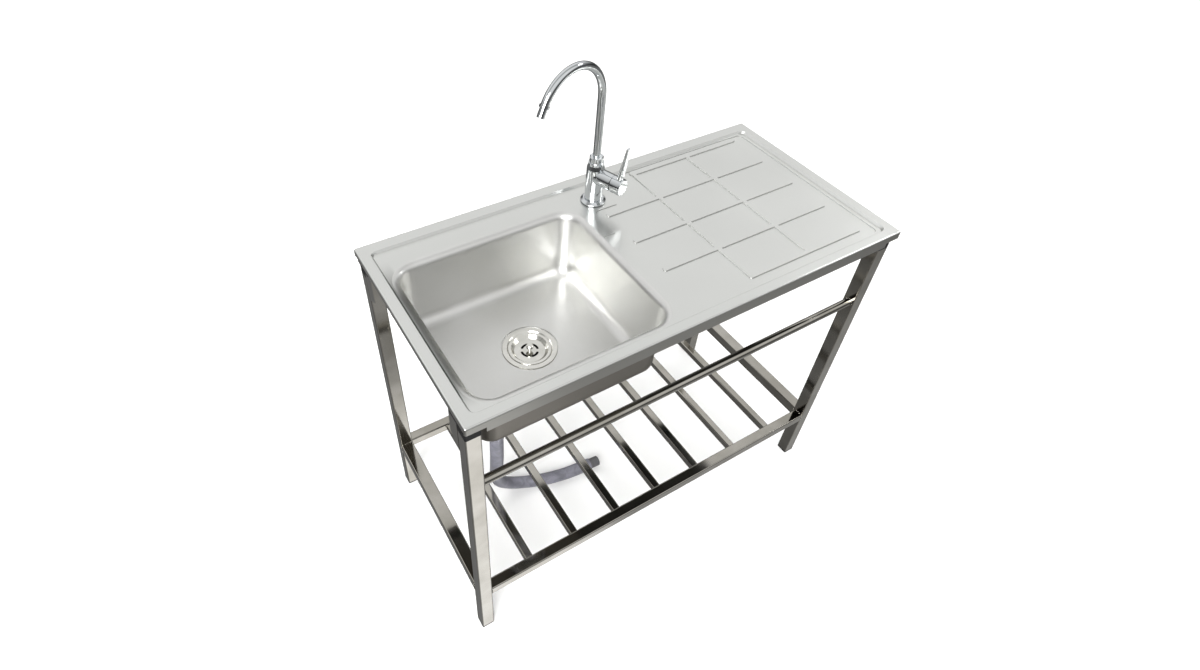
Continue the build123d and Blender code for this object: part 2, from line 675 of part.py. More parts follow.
def foot(side, face):
    """One plastic foot: a flange under the leg and a plug inside it."""
    flange = extrude(RectangleRounded(LEG_SIZE, LEG_SIZE, TUBE_CORNER), amount=FOOT_FLANGE)
    plug = Pos(0, 0, FOOT_FLANGE) * tube_plug(PLUG_LENGTH)
    return Pos(side * leg_x, face * leg_y, 0) * (flange + plug)


def connector(side, face):
    """One black corner connector: plug, collar, a tongue along the deck's side and a pad under it."""
    plug = Pos(0, 0, leg_top - PLUG_LENGTH) * tube_plug(PLUG_LENGTH)
    collar = Pos(0, 0, leg_top) * extrude(
        RectangleRounded(LEG_SIZE, LEG_SIZE, TUBE_CORNER), amount=COLLAR_HEIGHT
    )
    reach = TONGUE_LENGTH - LEG_SIZE
    tongue = Pos(-TONGUE_PROUD / 2, reach / 2, collar_top) * Box(
        LEG_SIZE + TONGUE_PROUD, TONGUE_LENGTH, TONGUE_HEIGHT, align=LOW
    )
    tongue = fillet(tongue.edges().filter_by(Axis.Z), TUBE_CORNER)
    pad_length = TONGUE_LENGTH - PAD_OUTER_GAP - PAD_INNER_GAP
    pad = Pos((LEG_SIZE - PAD_WIDTH) / 2, (reach + PAD_OUTER_GAP - PAD_INNER_GAP) / 2, tongue_top) * Box(
        PAD_WIDTH, pad_length, ledge_underside - tongue_top, align=LOW
    )
    hole = Pos(*screw_place(), collar_top) * Cylinder(
        SCREW_RADIUS + FIT_CLEARANCE, SCREW_LENGTH + SCREW_TIP + FIT_CLEARANCE, align=LOW
    )
    body = plug + collar + tongue + pad - hole
    return Pos(side * leg_x, face * leg_y, 0) * turn_to_corner(body, side, face)


def screw_place():
    """Where a connector's screw stands, from its leg's middle, in the front left corner's sense."""
    return ((BRACKET_FLANGE - LEG_SIZE) / 2 + SCREW_OFFSET, (LEG_SIZE + BRACKET_WIDTH) / 2)


def turn_to_corner(shape, side, face):
    """Mirror a piece drawn for the front left corner to the corner at (side, face)."""
    if side > 0:
        shape = mirror(shape, Plane.YZ)
    if face > 0:
        shape = mirror(shape, Plane.XZ)
    return shape


def bracket(side, face):
    """One folded bracket: a plate welded behind the leg, and a flange screwed to the connector."""
    start, end = LEG_SIZE / 2, LEG_SIZE / 2 + BRACKET_WIDTH
    top = collar_top
    outer = -LEG_SIZE / 2
    low = top - BRACKET_DROP - BRACKET_SLANT
    plate = Plane.YZ * make_face(Polyline(
        (start, low), (end, low + BRACKET_SLANT), (end, top), (start, top), close=True
    ))
    web = Pos(outer, 0, 0) * extrude(plate, amount=BRACKET_SHEET)
    flange = Pos(outer + BRACKET_FLANGE / 2, (start + end) / 2, top - BRACKET_SHEET) * Box(
        BRACKET_FLANGE, BRACKET_WIDTH, BRACKET_SHEET, align=LOW
    )
    hole = Pos(*screw_place(), top - 2 * BRACKET_SHEET) * Cylinder(
        SCREW_RADIUS + FIT_CLEARANCE, 3 * BRACKET_SHEET, align=LOW
    )
    return Pos(side * leg_x, face * leg_y, 0) * turn_to_corner(web + flange - hole, side, face)


def bracket_screws():
    """The four pan-head screws that hold the brackets to the connectors."""
    level = collar_top - BRACKET_SHEET
    head, height, edge = SCREW_HEAD_RADIUS, SCREW_HEAD_HEIGHT, SCREW_HEAD_EDGE
    screw = turned([
        (0, -height), (head - edge, -height), (head, edge - height), (head, 0), (SCREW_RADIUS, 0),
        (SCREW_RADIUS, SCREW_LENGTH), (0, SCREW_LENGTH + SCREW_TIP),
    ])
    places = []
    for side, face in CORNERS.values():
        body = Pos(*screw_place(), level) * screw
        places.append(Pos(side * leg_x, face * leg_y, 0) * turn_to_corner(body, side, face))
    return group(places)


def rail_along_x(size, top, y):
    """A square rail between the left and right legs."""
    tube = Pos(-leg_inner_x, 0, 0) * Rot(0, 90, 0) * square_tube(size, 2 * leg_inner_x)
    return Pos(0, y, top - size / 2) * tube


def rail_along_y(size, top, x, reach):
    """A square rail or slat that runs from front to back."""
    tube = Pos(0, reach, 0) * Rot(90, 0, 0) * square_tube(size, 2 * reach)
    return Pos(x, 0, top - size / 2) * tube


def mid_rail():
    """The round rail between the two front legs."""
    tube = extrude(Circle(MID_RAIL_RADIUS) - Circle(MID_RAIL_RADIUS - TUBE_WALL), amount=2 * leg_inner_x)
    return Pos(-leg_inner_x, MID_RAIL_SETBACK - leg_outer_y, mid_rail_level) * Rot(0, 90, 0) * tube


# ---- Mixer tap, drawn about its own column with Z = 0 on the ledge -------------------------------
def at_tap(shape, heading=0.0):
    """Stand a piece of the tap on the deck, turned to a heading about the column."""
    return Pos(tap_x, tap_y, ledge_top) * Rot(0, 0, heading) * shape


def along_handle(shape):
    """Lay a piece drawn about Z along the handle's axis, which is the tap's local X."""
    return Pos(0, 0, HANDLE_HEIGHT) * Rot(0, 90, 0) * shape


def tap_flange():
    """The chromed cover ring at the tap's foot."""
    bore, foot_radius = TAP_BODY_RADIUS + THREAD_CLEARANCE, TAP_FLANGE_RADIUS
    base = turned([
        (bore, TAP_GASKET), (foot_radius, TAP_GASKET), (foot_radius, TAP_FLANGE_EDGE),
        (TAP_BODY_RADIUS + TAP_FLANGE_LAND, TAP_FLANGE_HEIGHT), (bore, TAP_FLANGE_HEIGHT),
    ])
    return at_tap(base)


def tap_gasket():
    """The rubber ring between the tap and the deck."""
    return at_tap(ring(TAP_FLANGE_RADIUS - TAP_GASKET_SETBACK, TAP_HOLE_RADIUS, 0, TAP_GASKET))


def tap_body():
    """The cast body: the column, the housing for the cartridge and the spout's socket."""
    shoulder = HANDLE_HEIGHT + HOUSING_RADIUS
    column = turned([
        (0, TAP_GASKET), (TAP_BODY_RADIUS, TAP_GASKET), (TAP_BODY_RADIUS, shoulder),
        (TAP_NECK_RADIUS, shoulder + TAP_SHOULDER), (TAP_NECK_RADIUS, TAP_BODY_HEIGHT), (0, TAP_BODY_HEIGHT),
    ])
    housing = along_handle(Cylinder(HOUSING_RADIUS, HOUSING_END, align=LOW))
    housing = chamfer(housing.edges().filter_by(GeomType.CIRCLE).sort_by(Axis.X)[-1], HOUSING_EDGE)
    chamber = along_handle(Pos(0, 0, CARTRIDGE_START) * Cylinder(
        CARTRIDGE_RADIUS + THREAD_CLEARANCE, HOUSING_END, align=LOW
    ))
    socket = Pos(0, 0, TAP_BODY_HEIGHT - SPOUT_SOCKET) * Cylinder(
        SPOUT_RADIUS + SPOUT_BUSH_WALL + SPOUT_CLEARANCE, SPOUT_SOCKET, align=LOW
    )
    return at_tap(column + housing - chamber - socket, HANDLE_HEADING)


def tap_shank():
    """The threaded shank through the deck, with the two inlet ports in its end."""
    shank = Pos(0, 0, TAP_GASKET - SHANK_LENGTH) * Cylinder(SHANK_RADIUS, SHANK_LENGTH, align=LOW)
    for side in (-1, 1):
        port = Cylinder(INLET_RADIUS, INLET_DEPTH, align=LOW)
        shank -= Pos(side * INLET_SPACING / 2, 0, TAP_GASKET - SHANK_LENGTH) * port
    return at_tap(shank)


def shank_washer():
    """The steel washer under the deck."""
    outer = SHANK_NUT_RADIUS + SHANK_WASHER_PROUD
    washer = ring(outer, SHANK_RADIUS + THREAD_CLEARANCE, -SHANK_WASHER, 0)
    return at_tap(Pos(0, 0, -DECK_SHEET) * washer)


def shank_nut():
    """The hexagon nut that clamps the tap to the deck."""
    outline = RegularPolygon(SHANK_NUT_RADIUS, 6) - Circle(SHANK_RADIUS + THREAD_CLEARANCE)
    nut = extrude(outline, amount=SHANK_NUT_HEIGHT)
    return at_tap(Pos(0, 0, -DECK_SHEET - SHANK_WASHER - SHANK_NUT_HEIGHT) * nut)


def collar_nut():
    """The ring nut at the top of the body, round the spout."""
    bore, top, edge = SPOUT_RADIUS + SPOUT_CLEARANCE, TAP_BODY_HEIGHT + COLLAR_NUT_HEIGHT, COLLAR_NUT_EDGE
    nut = turned([
        (bore, TAP_BODY_HEIGHT), (COLLAR_NUT_RADIUS, TAP_BODY_HEIGHT), (COLLAR_NUT_RADIUS, top - edge),
        (COLLAR_NUT_RADIUS - edge, top), (bore, top),
    ])
    return at_tap(nut)


def spout_line():
    """The spout's centre line in its own plane: up, and over in one bend."""
    foot_level = TAP_BODY_HEIGHT - SPOUT_SOCKET + SPOUT_FOOT_GAP
    upright = Line((0, 0, foot_level), (0, 0, SPOUT_RISE))
    bend = Plane.XZ * CenterArc((SPOUT_BEND_RADIUS, SPOUT_RISE), SPOUT_BEND_RADIUS, 180, -SPOUT_BEND_ANGLE)
    return upright, bend


def spout():
    """The bent spout tube."""
    upright, bend = spout_line()
    section = Circle(SPOUT_RADIUS) - Circle(SPOUT_RADIUS - SPOUT_WALL)
    start = Plane(origin=upright @ 0, z_dir=(0, 0, 1))
    return at_tap(sweep(start * section, path=Wire([upright.edge(), bend.edge()])), SPOUT_HEADING)


def spout_bush():
    """The plastic bush on the spout's foot, which turns in the body."""
    foot_level = TAP_BODY_HEIGHT - SPOUT_SOCKET + 2 * SPOUT_FOOT_GAP
    bush = ring(SPOUT_RADIUS + SPOUT_BUSH_WALL, SPOUT_RADIUS, foot_level, foot_level + SPOUT_BUSH_LENGTH)
    return at_tap(bush, SPOUT_HEADING)


def aerator():
    """The aerator on the spout's end: a ring, a sleeve and the screen set back in it."""
    bend = spout_line()[1]
    end = Plane(origin=bend @ 1, z_dir=bend % 1)
    sleeve, bore, shoulder = SPOUT_RADIUS - AERATOR_STEP, SPOUT_RADIUS - AERATOR_WALL, AERATOR_RING
    shell = turned([
        (0, 0), (AERATOR_RADIUS, 0), (AERATOR_RADIUS, shoulder), (sleeve, shoulder + AERATOR_STEP),
        (sleeve, AERATOR_LENGTH), (bore, AERATOR_LENGTH), (bore, AERATOR_LENGTH - AERATOR_SCREEN_DEPTH),
        (0, AERATOR_LENGTH - AERATOR_SCREEN_DEPTH),
    ])
    return at_tap(end * shell, SPOUT_HEADING)


def mixing_cartridge():
    """The cartridge in its chamber, with the round pocket that its carrier turns in."""
    pocket = PIVOT_OFFSET - CARRIER_REACH - CARRIER_PLAY
    body = ring(CARTRIDGE_RADIUS, CARRIER_RADIUS + MOVING_CLEARANCE, pocket, COVER_START)
    base = ring(CARTRIDGE_RADIUS, CARTRIDGE_BORE, CARTRIDGE_START + MOVING_CLEARANCE, pocket)
    return at_tap(along_handle(body + base), HANDLE_HEADING)


def cartridge_cover():
    """The domed ring that closes the chamber, inside the sphere that the handle's hub turns over."""
    low, foot_level = HOUSING_END - PIVOT_OFFSET, COVER_START - PIVOT_OFFSET
    brim, crown = math.sqrt(DOME_RADIUS**2 - low**2), math.sqrt(DOME_RADIUS**2 - DOME_REACH**2)
    cover = turned([
        (brim - DOME_WALL, foot_level), (CARTRIDGE_RADIUS, foot_level), (CARTRIDGE_RADIUS, low), (brim, low),
        (crown, DOME_REACH), (DOME_MOUTH, DOME_REACH), (DOME_MOUTH, DOME_REACH - DOME_WALL),
        (brim - DOME_WALL, low),
    ])
    return at_tap(along_handle(Pos(0, 0, PIVOT_OFFSET) * cover), HANDLE_HEADING)


def stem_carrier():
    """The slotted carrier that turns in the cartridge and holds the stem's pin."""
    slot = STEM_SIZE + 2 * STEM_CLEARANCE
    carrier = Pos(0, 0, -CARRIER_REACH) * Cylinder(CARRIER_RADIUS, CARRIER_REACH + CARRIER_NOSE, align=LOW)
    carrier -= Pos(0, 0, -STEM_TAIL - STEM_TAIL_GAP) * Box(
        2 * CARRIER_RADIUS, slot, 2 * CARRIER_REACH, align=LOW
    )
    carrier -= Rot(90, 0, 0) * Cylinder(PIN_RADIUS + FIT_CLEARANCE, 2 * CARRIER_RADIUS)
    return at_tap(along_handle(Pos(0, 0, PIVOT_OFFSET) * carrier), HANDLE_HEADING)


def stem_pin():
    """The pin that the stem tilts on."""
    pin = Rot(90, 0, 0) * Cylinder(PIN_RADIUS, 2 * (CARRIER_RADIUS - PIN_SETBACK))
    return at_tap(along_handle(Pos(0, 0, PIVOT_OFFSET) * pin), HANDLE_HEADING)


def cartridge_stem():
    """The square stem from the pin to the handle's hub."""
    length = STEM_TAIL + HUB_SOCKET_END - PIVOT_OFFSET
    stem = Pos(0, 0, -STEM_TAIL) * Box(STEM_SIZE, STEM_SIZE, length, align=LOW)
    stem -= Rot(90, 0, 0) * Cylinder(PIN_RADIUS + STEM_CLEARANCE, 2 * STEM_SIZE)
    return at_tap(along_handle(Pos(0, 0, PIVOT_OFFSET) * stem), HANDLE_HEADING)


def lever():
    """The lever: a rounded bar that narrows evenly to its tip, drawn in the tap's own frame."""
    foot_level = Vector(LEVER_OFFSET, 0, HANDLE_HEIGHT + LEVER_ROOT)
    tip = Vector(LEVER_OFFSET + LEVER_LEAN, 0, HANDLE_HEIGHT + LEVER_RISE)
    along = tip - foot_level
    outline = Plane(origin=foot_level, x_dir=(along.Z, 0, -along.X), z_dir=along) * RectangleRounded(
        LEVER_THICKNESS, LEVER_WIDTH, LEVER_ROUND
    )
    return extrude(outline, amount=along.length, taper=LEVER_TAPER)


def handle_lever():
    """The handle: a hub over the cartridge's dome, with the lever rising from it."""
    hub = Pos(0, 0, HOUSING_END) * Cylinder(HUB_RADIUS, HUB_END - HOUSING_END, align=LOW)
    hub = chamfer(hub.faces().sort_by(Axis.Z)[-1].edges(), HUB_EDGE)
    hub -= Cylinder(DOME_RADIUS + HUB_CLEARANCE, PIVOT_OFFSET + DOME_RADIUS + HUB_CLEARANCE, align=LOW)
    hub -= Pos(0, 0, PIVOT_OFFSET) * Box(STEM_SIZE, STEM_SIZE, HUB_SOCKET_END - PIVOT_OFFSET, align=LOW)
    hub -= Pos(0, 0, LEVER_OFFSET) * Rot(0, 90, 0) * Cylinder(
        SET_SCREW_RADIUS + FIT_CLEARANCE, HUB_RADIUS, align=LOW
    )
    hub = along_handle(hub)
    half = HUB_RADIUS + CUT_MARGIN
    gap = Plane.XZ * make_face(Polyline(
        (0, HANDLE_HEIGHT + half), (HOUSING_END + HUB_GAP_TOP, HANDLE_HEIGHT + half),
        (HOUSING_END + HUB_GAP_BOTTOM, HANDLE_HEIGHT - half), (0, HANDLE_HEIGHT - half), close=True,
    ))
    hub -= extrude(gap, amount=half, both=True)
    return at_tap(hub + lever(), HANDLE_HEADING)


def handle_screw():
    """The set screw under the hub that grips the stem."""
    length = HUB_RADIUS - STEM_SIZE / 2 - SET_SCREW_SETBACK
    screw = Rot(0, 90, 0) * Cylinder(SET_SCREW_RADIUS, length, align=LOW)
    return at_tap(along_handle(Pos(STEM_SIZE / 2, 0, LEVER_OFFSET) * screw), HANDLE_HEADING)


# ---- The whole unit ------------------------------------------------------------------------------
def main():
    """Write every sub-part."""
    os.makedirs("parts", exist_ok=True)
    write("deck_top", deck_top())
    write("bowl", bowl())
    for piece in (strainer_body, strainer_washer, strainer_locknut, basket_cup, basket_knob, basket_seal,
                  outlet_nut, offset_pipe, cuff_nut, hose_cuff, drain_hose, hose_tip):
        write(piece.__name__, piece())
    for name, (side, face) in CORNERS.items():
        write(f"leg_{name}", leg(side, face))
        write(f"foot_{name}", foot(side, face))
        write(f"connector_{name}", connector(side, face))
        write(f"bracket_{name}", bracket(side, face))
    write("bracket_screws", bracket_screws())
    write("mid_rail", mid_rail())
    shelf_y = leg_outer_y - SHELF_RAIL_SIZE / 2
    write("shelf_rail_front", rail_along_x(SHELF_RAIL_SIZE, SHELF_RAIL_TOP, -shelf_y))
    write("shelf_rail_back", rail_along_x(SHELF_RAIL_SIZE, SHELF_RAIL_TOP, shelf_y))
    write("shelf_rail_left", rail_along_y(SHELF_SIDE_SIZE, SHELF_SIDE_TOP, -leg_x, leg_inner_y))
    write("shelf_rail_right", rail_along_y(SHELF_SIDE_SIZE, SHELF_SIDE_TOP, leg_x, leg_inner_y))
    for n in range(SLAT_COUNT):
        x = (2 * n / (SLAT_COUNT - 1) - 1) * (leg_inner_x - SLAT_END_GAP)
        write(f"shelf_slat_{n + 1}", rail_along_y(SLAT_SIZE, SLAT_TOP, x, leg_outer_y - SHELF_RAIL_SIZE))
    for piece in (tap_flange, tap_gasket, tap_body, tap_shank, shank_washer, shank_nut, collar_nut,
                  spout, spout_bush, aerator, mixing_cartridge, cartridge_cover, stem_carrier, stem_pin,
                  cartridge_stem, handle_lever, handle_screw):
        write(piece.__name__, piece())


main()
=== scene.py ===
"""Looks of the kitchen sink unit: finishes, waste hose, welds, threads, screws and studio.

Lengths and places are in metres and angles in radians, unless a name says otherwise.
"""

import json
import logging
import math
from dataclasses import dataclass, field
from enum import Enum
from typing import Any, ClassVar, Sequence

import bmesh
import bpy
from mathutils import Matrix, Vector


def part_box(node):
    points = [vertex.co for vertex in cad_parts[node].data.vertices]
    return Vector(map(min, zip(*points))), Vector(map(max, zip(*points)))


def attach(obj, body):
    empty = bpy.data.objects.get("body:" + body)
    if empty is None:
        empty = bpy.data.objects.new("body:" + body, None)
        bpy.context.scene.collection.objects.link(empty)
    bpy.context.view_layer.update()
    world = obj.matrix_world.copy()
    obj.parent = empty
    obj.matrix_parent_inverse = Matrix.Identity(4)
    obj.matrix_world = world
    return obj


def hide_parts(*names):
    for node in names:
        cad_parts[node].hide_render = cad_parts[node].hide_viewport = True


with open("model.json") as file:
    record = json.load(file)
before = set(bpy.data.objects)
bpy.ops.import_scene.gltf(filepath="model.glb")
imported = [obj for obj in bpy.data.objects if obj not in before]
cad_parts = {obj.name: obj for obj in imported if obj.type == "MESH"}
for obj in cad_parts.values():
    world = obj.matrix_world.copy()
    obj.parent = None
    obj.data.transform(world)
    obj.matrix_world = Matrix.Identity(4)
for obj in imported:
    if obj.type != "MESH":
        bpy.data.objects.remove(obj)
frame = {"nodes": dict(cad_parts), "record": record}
UNIT = "sink_unit"
LOG = logging.getLogger(UNIT)
MM = 0.001
# The middle of the tap's column along X and Y.
TAP = (0.0013, 0.159)

Tree = bpy.types.NodeTree
Node = bpy.types.Node
Socket = bpy.types.NodeSocket
Inputs = dict[Any, Any]
Span = tuple[float, float]
Window = tuple[float, float, float, float]
Place = tuple[float, float, float]
SMOOTH = {"interpolation_type": "SMOOTHSTEP"}


# ---- Nodes, colours and meshes ----
def add(tree: Tree, kind: str, inputs: Inputs | None = None, **settings: Any) -> Node:
    """Adds one node to a tree.

    Args:
        tree: The shader or geometry tree.
        kind: The node's type name.
        inputs: Values or output sockets, by the name or number of the input that takes them.
        **settings: The node's own properties.

    Returns:
        The new node.
    """
    node = tree.nodes.new(kind)
    for name, value in settings.items():
        setattr(node, name, value)
    for key, value in (inputs or {}).items():
        if isinstance(value, Socket):
            tree.links.new(value, node.inputs[key])
        else:
            node.inputs[key].default_value = value
    return node


def linear(hex_colour: str) -> tuple[float, float, float, float]:
    """Turns an sRGB hex colour to linear.

    Args:
        hex_colour: The colour, such as "#C4C2BC".

    Returns:
        The linear red, green, blue and alpha.
    """
    channels = [int(hex_colour[n:n + 2], 16) / 255 for n in (1, 3, 5)]
    red, green, blue = (
        c / 12.92 if c <= 0.04045 else ((c + 0.055) / 1.055) ** 2.4 for c in channels
    )
    return red, green, blue, 1.0


def mapped(value: Socket, span: Span, to: Span = (0.0, 1.0)) -> Inputs:
    """Returns a Map Range node's inputs.

    Args:
        value: The value to map.
        span: Where the change starts and ends.
        to: The results before and after it.

    Returns:
        The values and the output socket, by the name of the input that takes them.
    """
    ends = {"From Min": span[0], "From Max": span[1], "To Min": to[0], "To Max": to[1]}
    return {"Value": value, **ends}


def window(tree: Tree, value: Socket, span: Window, height: float = 1.0) -> Socket:
    """Adds a smooth window of a value, from a rising and a falling step.

    Args:
        tree: The shader tree.
        value: The value that the window follows.
        span: The start and end of its rise, then the start and end of its fall.
        height: The result inside the window.

    Returns:
        The window's output, which is 0 outside it.
    """
    steps = [
        add(tree, "ShaderNodeMapRange", mapped(value, ends, (0.0, height)), **SMOOTH).outputs[0]
        for ends in (span[:2], span[2:])
    ]
    return add(tree, "ShaderNodeMath", {0: steps[0], 1: steps[1]}, operation="SUBTRACT").outputs[0]


def patch(tree: Tree, place: Socket, spans: dict[str, Window], height: float = 1.0) -> Socket:
    """Adds a smooth window over a patch of a sheet.

    Args:
        tree: The shader tree.
        place: The place on the sheet.
        spans: The windows along the two axes that bound the patch, by the axis's name.
        height: The result inside the patch.

    Returns:
        The window's output, which is 0 outside the patch.
    """
    parts = add(tree, "ShaderNodeSeparateXYZ", {0: place}).outputs
    (axis, span), (other, reach) = spans.items()
    both = {0: window(tree, parts[axis], span, height), 1: window(tree, parts[other], reach)}
    return add(tree, "ShaderNodeMath", both, operation="MULTIPLY").outputs[0]


def leaning(tree: Tree, lean: dict[str, Socket]) -> Socket:
    """Adds a surface normal that leans.

    Args:
        tree: The shader tree.
        lean: The slope along each axis that it leans along, by the axis's name.

    Returns:
        The leaning normal.
    """
    slopes = add(tree, "ShaderNodeCombineXYZ", lean).outputs[0]
    upright = add(tree, "ShaderNodeNewGeometry").outputs["Normal"]
    leant = add(tree, "ShaderNodeVectorMath", {0: upright, 1: slopes}, operation="ADD").outputs[0]
    return add(tree, "ShaderNodeVectorMath", {0: leant}, operation="NORMALIZE").outputs[0]


def coated(tree: Tree, tone: Socket, coats: Sequence[tuple[Socket, str]]) -> Socket:
    """Lays colours over a tone, one after another.

    Args:
        tree: The shader tree.
        tone: The colour underneath.
        coats: Each coat's share of the surface, from 0 to 1, and its sRGB colour.

    Returns:
        The colour with all coats on it.
    """
    for share, colour in coats:
        laid = {"Factor": share, 6: tone, 7: linear(colour)}
        tone = add(tree, "ShaderNodeMix", laid, data_type="RGBA").outputs[2]
    return tone


def new_material(name: str) -> bpy.types.Material:
    """Makes a material with an empty node tree.

    Args:
        name: The material's name.

    Returns:
        The new material.
    """
    material = bpy.data.materials.new(name)
    material.use_nodes = True
    material.node_tree.nodes.clear()
    return material


def new_piece(name: str, data: bpy.types.ID) -> bpy.types.Object:
    """Puts a new object in the scene, at the origin.

    Args:
        name: The object's name.
        data: The mesh, curve, lamp or camera that it holds.

    Returns:
        The new object.
    """
    piece = bpy.data.objects.new(name, data)
    bpy.context.scene.collection.objects.link(piece)
    return piece


class Grain(Enum):
    """The way that a surface was brushed or drawn, as pattern cycles along X, Y and Z."""

    ALONG_X = (0.05, 1.0, 1.0)
    AROUND = (0.12, 0.12, 1.0)
    EVEN = (1.0, 1.0, 1.0)


# ---- Finishes ----
@dataclass(frozen=True)
class Surface:
    """A surface with the fine marks that its making left, and larger patches of another shade.

    Each kind of surface has its own DEPTH of marks. Its roughness and its colours are spread over
    GLOSS and TONE, the parts of their patterns' range that are mostly filled.

    Attributes:
        name: The material's name.
        colour: The main sRGB colour.
        shade: The sRGB colour of the patches.
        roughness: The least and greatest roughness.
        relief: The strength of the marks' bump.
    """

    DEPTH: ClassVar[float]
    GLOSS: ClassVar[Span]
    TONE: ClassVar[Span]

    name: str
    colour: str
    shade: str
    roughness: Span
    relief: float

    def make(self) -> bpy.types.Material:
        """Builds the material.

        Returns:
            The new material.
        """
        material = new_material(self.name)
        tree = material.node_tree
        place = add(tree, "ShaderNodeTexCoord").outputs["Object"]
        marks, patches, wear = self.patterns(tree, place)
        tone = add(tree, "ShaderNodeValToRGB", {"Fac": patches})
        stops = zip(tone.color_ramp.elements, self.TONE, (self.shade, self.colour))
        for stop, at, colour in stops:
            stop.position, stop.color = at, linear(colour)
        gloss = add(tree, "ShaderNodeMapRange", mapped(wear, self.GLOSS, self.roughness))
        bump = add(tree, "ShaderNodeBump", {
            "Height": marks, "Strength": self.relief, "Distance": self.DEPTH,
            **self.form(tree, place),
        })
        shader = add(tree, "ShaderNodeBsdfPrincipled", {
            "Base Color": self.dress(tree, place, tone.outputs["Color"]),
            "Roughness": self.haze(tree, gloss.outputs["Result"]), "Normal": bump.outputs["Normal"],
            **self.substance(tree),
        })
        add(tree, "ShaderNodeOutputMaterial", {"Surface": shader.outputs["BSDF"]})
        return material

    def patterns(self, tree: Tree, place: Socket) -> tuple[Socket, Socket, Socket]:
        """Returns the marks, the patches and the pattern that the roughness follows."""
        raise NotImplementedError

    def substance(self, tree: Tree) -> Inputs:
        """Returns the shader's inputs that make it metal, plastic or rubber."""
        raise NotImplementedError

    def form(self, tree: Tree, place: Socket) -> Inputs:
        """Returns the bump's inputs for any shallow form under the marks."""
        return {}

    def dress(self, tree: Tree, place: Socket, tone: Socket) -> Socket:
        """Returns the base colour, from the patches' tone."""
        return tone

    def haze(self, tree: Tree, gloss: Socket) -> Socket:
        """Returns the roughness, from the patterns' roughness."""
        return gloss


@dataclass(frozen=True)
class Metal(Surface):
    """A bare or plated metal surface: fine lines from brushing or turning, and duller patches.

    Attributes:
        line_mm: The spacing of the lines in millimetres.
        patch_mm: The size of the patches in millimetres.
        grain: The lines' direction.
        stretch: How far the lines stretch highlights across themselves, from 0 to 1.
    """

    DEPTH = 0.1 * MM
    GLOSS = (0.12, 0.42)
    TONE = (0.34, 0.66)
    LINES = {"Scale": 1.0, "Detail": 3.0, "Roughness": 0.6}
    PATCHES = {"Detail": 2.0, "Roughness": 0.45}
    # Upright, and along the deck: each a little askew, so that no face is square to it.
    UPRIGHT = {"X": 0.12, "Y": 0.20, "Z": 1.0}
    LENGTHWISE = (1.0, 0.01, 0.013)

    line_mm: float
    patch_mm: float
    grain: Grain
    stretch: float = 0.0

    def patterns(self, tree: Tree, place: Socket) -> tuple[Socket, Socket, Socket]:
        """Adds the lines and the patches. The roughness follows both.

        Args:
            tree: The shader tree.
            place: The place on the piece.

        Returns:
            The lines, the patches and their product.
        """
        scale = tuple(cycles / (self.line_mm * MM) for cycles in self.grain.value)
        across = add(tree, "ShaderNodeMapping", {"Vector": place, "Scale": scale})
        lines = add(tree, "ShaderNodeTexNoise", {"Vector": across.outputs["Vector"], **self.LINES})
        patches = add(tree, "ShaderNodeTexNoise", {
            "Vector": place, "Scale": 1 / (self.patch_mm * MM), **self.PATCHES,
        })
        both = {0: lines.outputs[0], 1: patches.outputs[0]}
        wear = add(tree, "ShaderNodeMath", both, operation="MULTIPLY")
        return lines.outputs[0], patches.outputs[0], wear.outputs[0]

    def substance(self, tree: Tree) -> Inputs:
        """Makes it metal, with highlights stretched across the lines.

        Args:
            tree: The shader tree.

        Returns:
            The shader's inputs.
        """
        if not self.stretch:
            return {"Metallic": 1.0}
        if self.grain is Grain.AROUND:
            across = add(tree, "ShaderNodeCombineXYZ", self.UPRIGHT)
        else:
            both = {0: self.LENGTHWISE, 1: add(tree, "ShaderNodeNewGeometry").outputs["Normal"]}
            across = add(tree, "ShaderNodeVectorMath", both, operation="CROSS_PRODUCT")
        return {"Metallic": 1.0, "Anisotropic": self.stretch, "Tangent": across.outputs[0]}


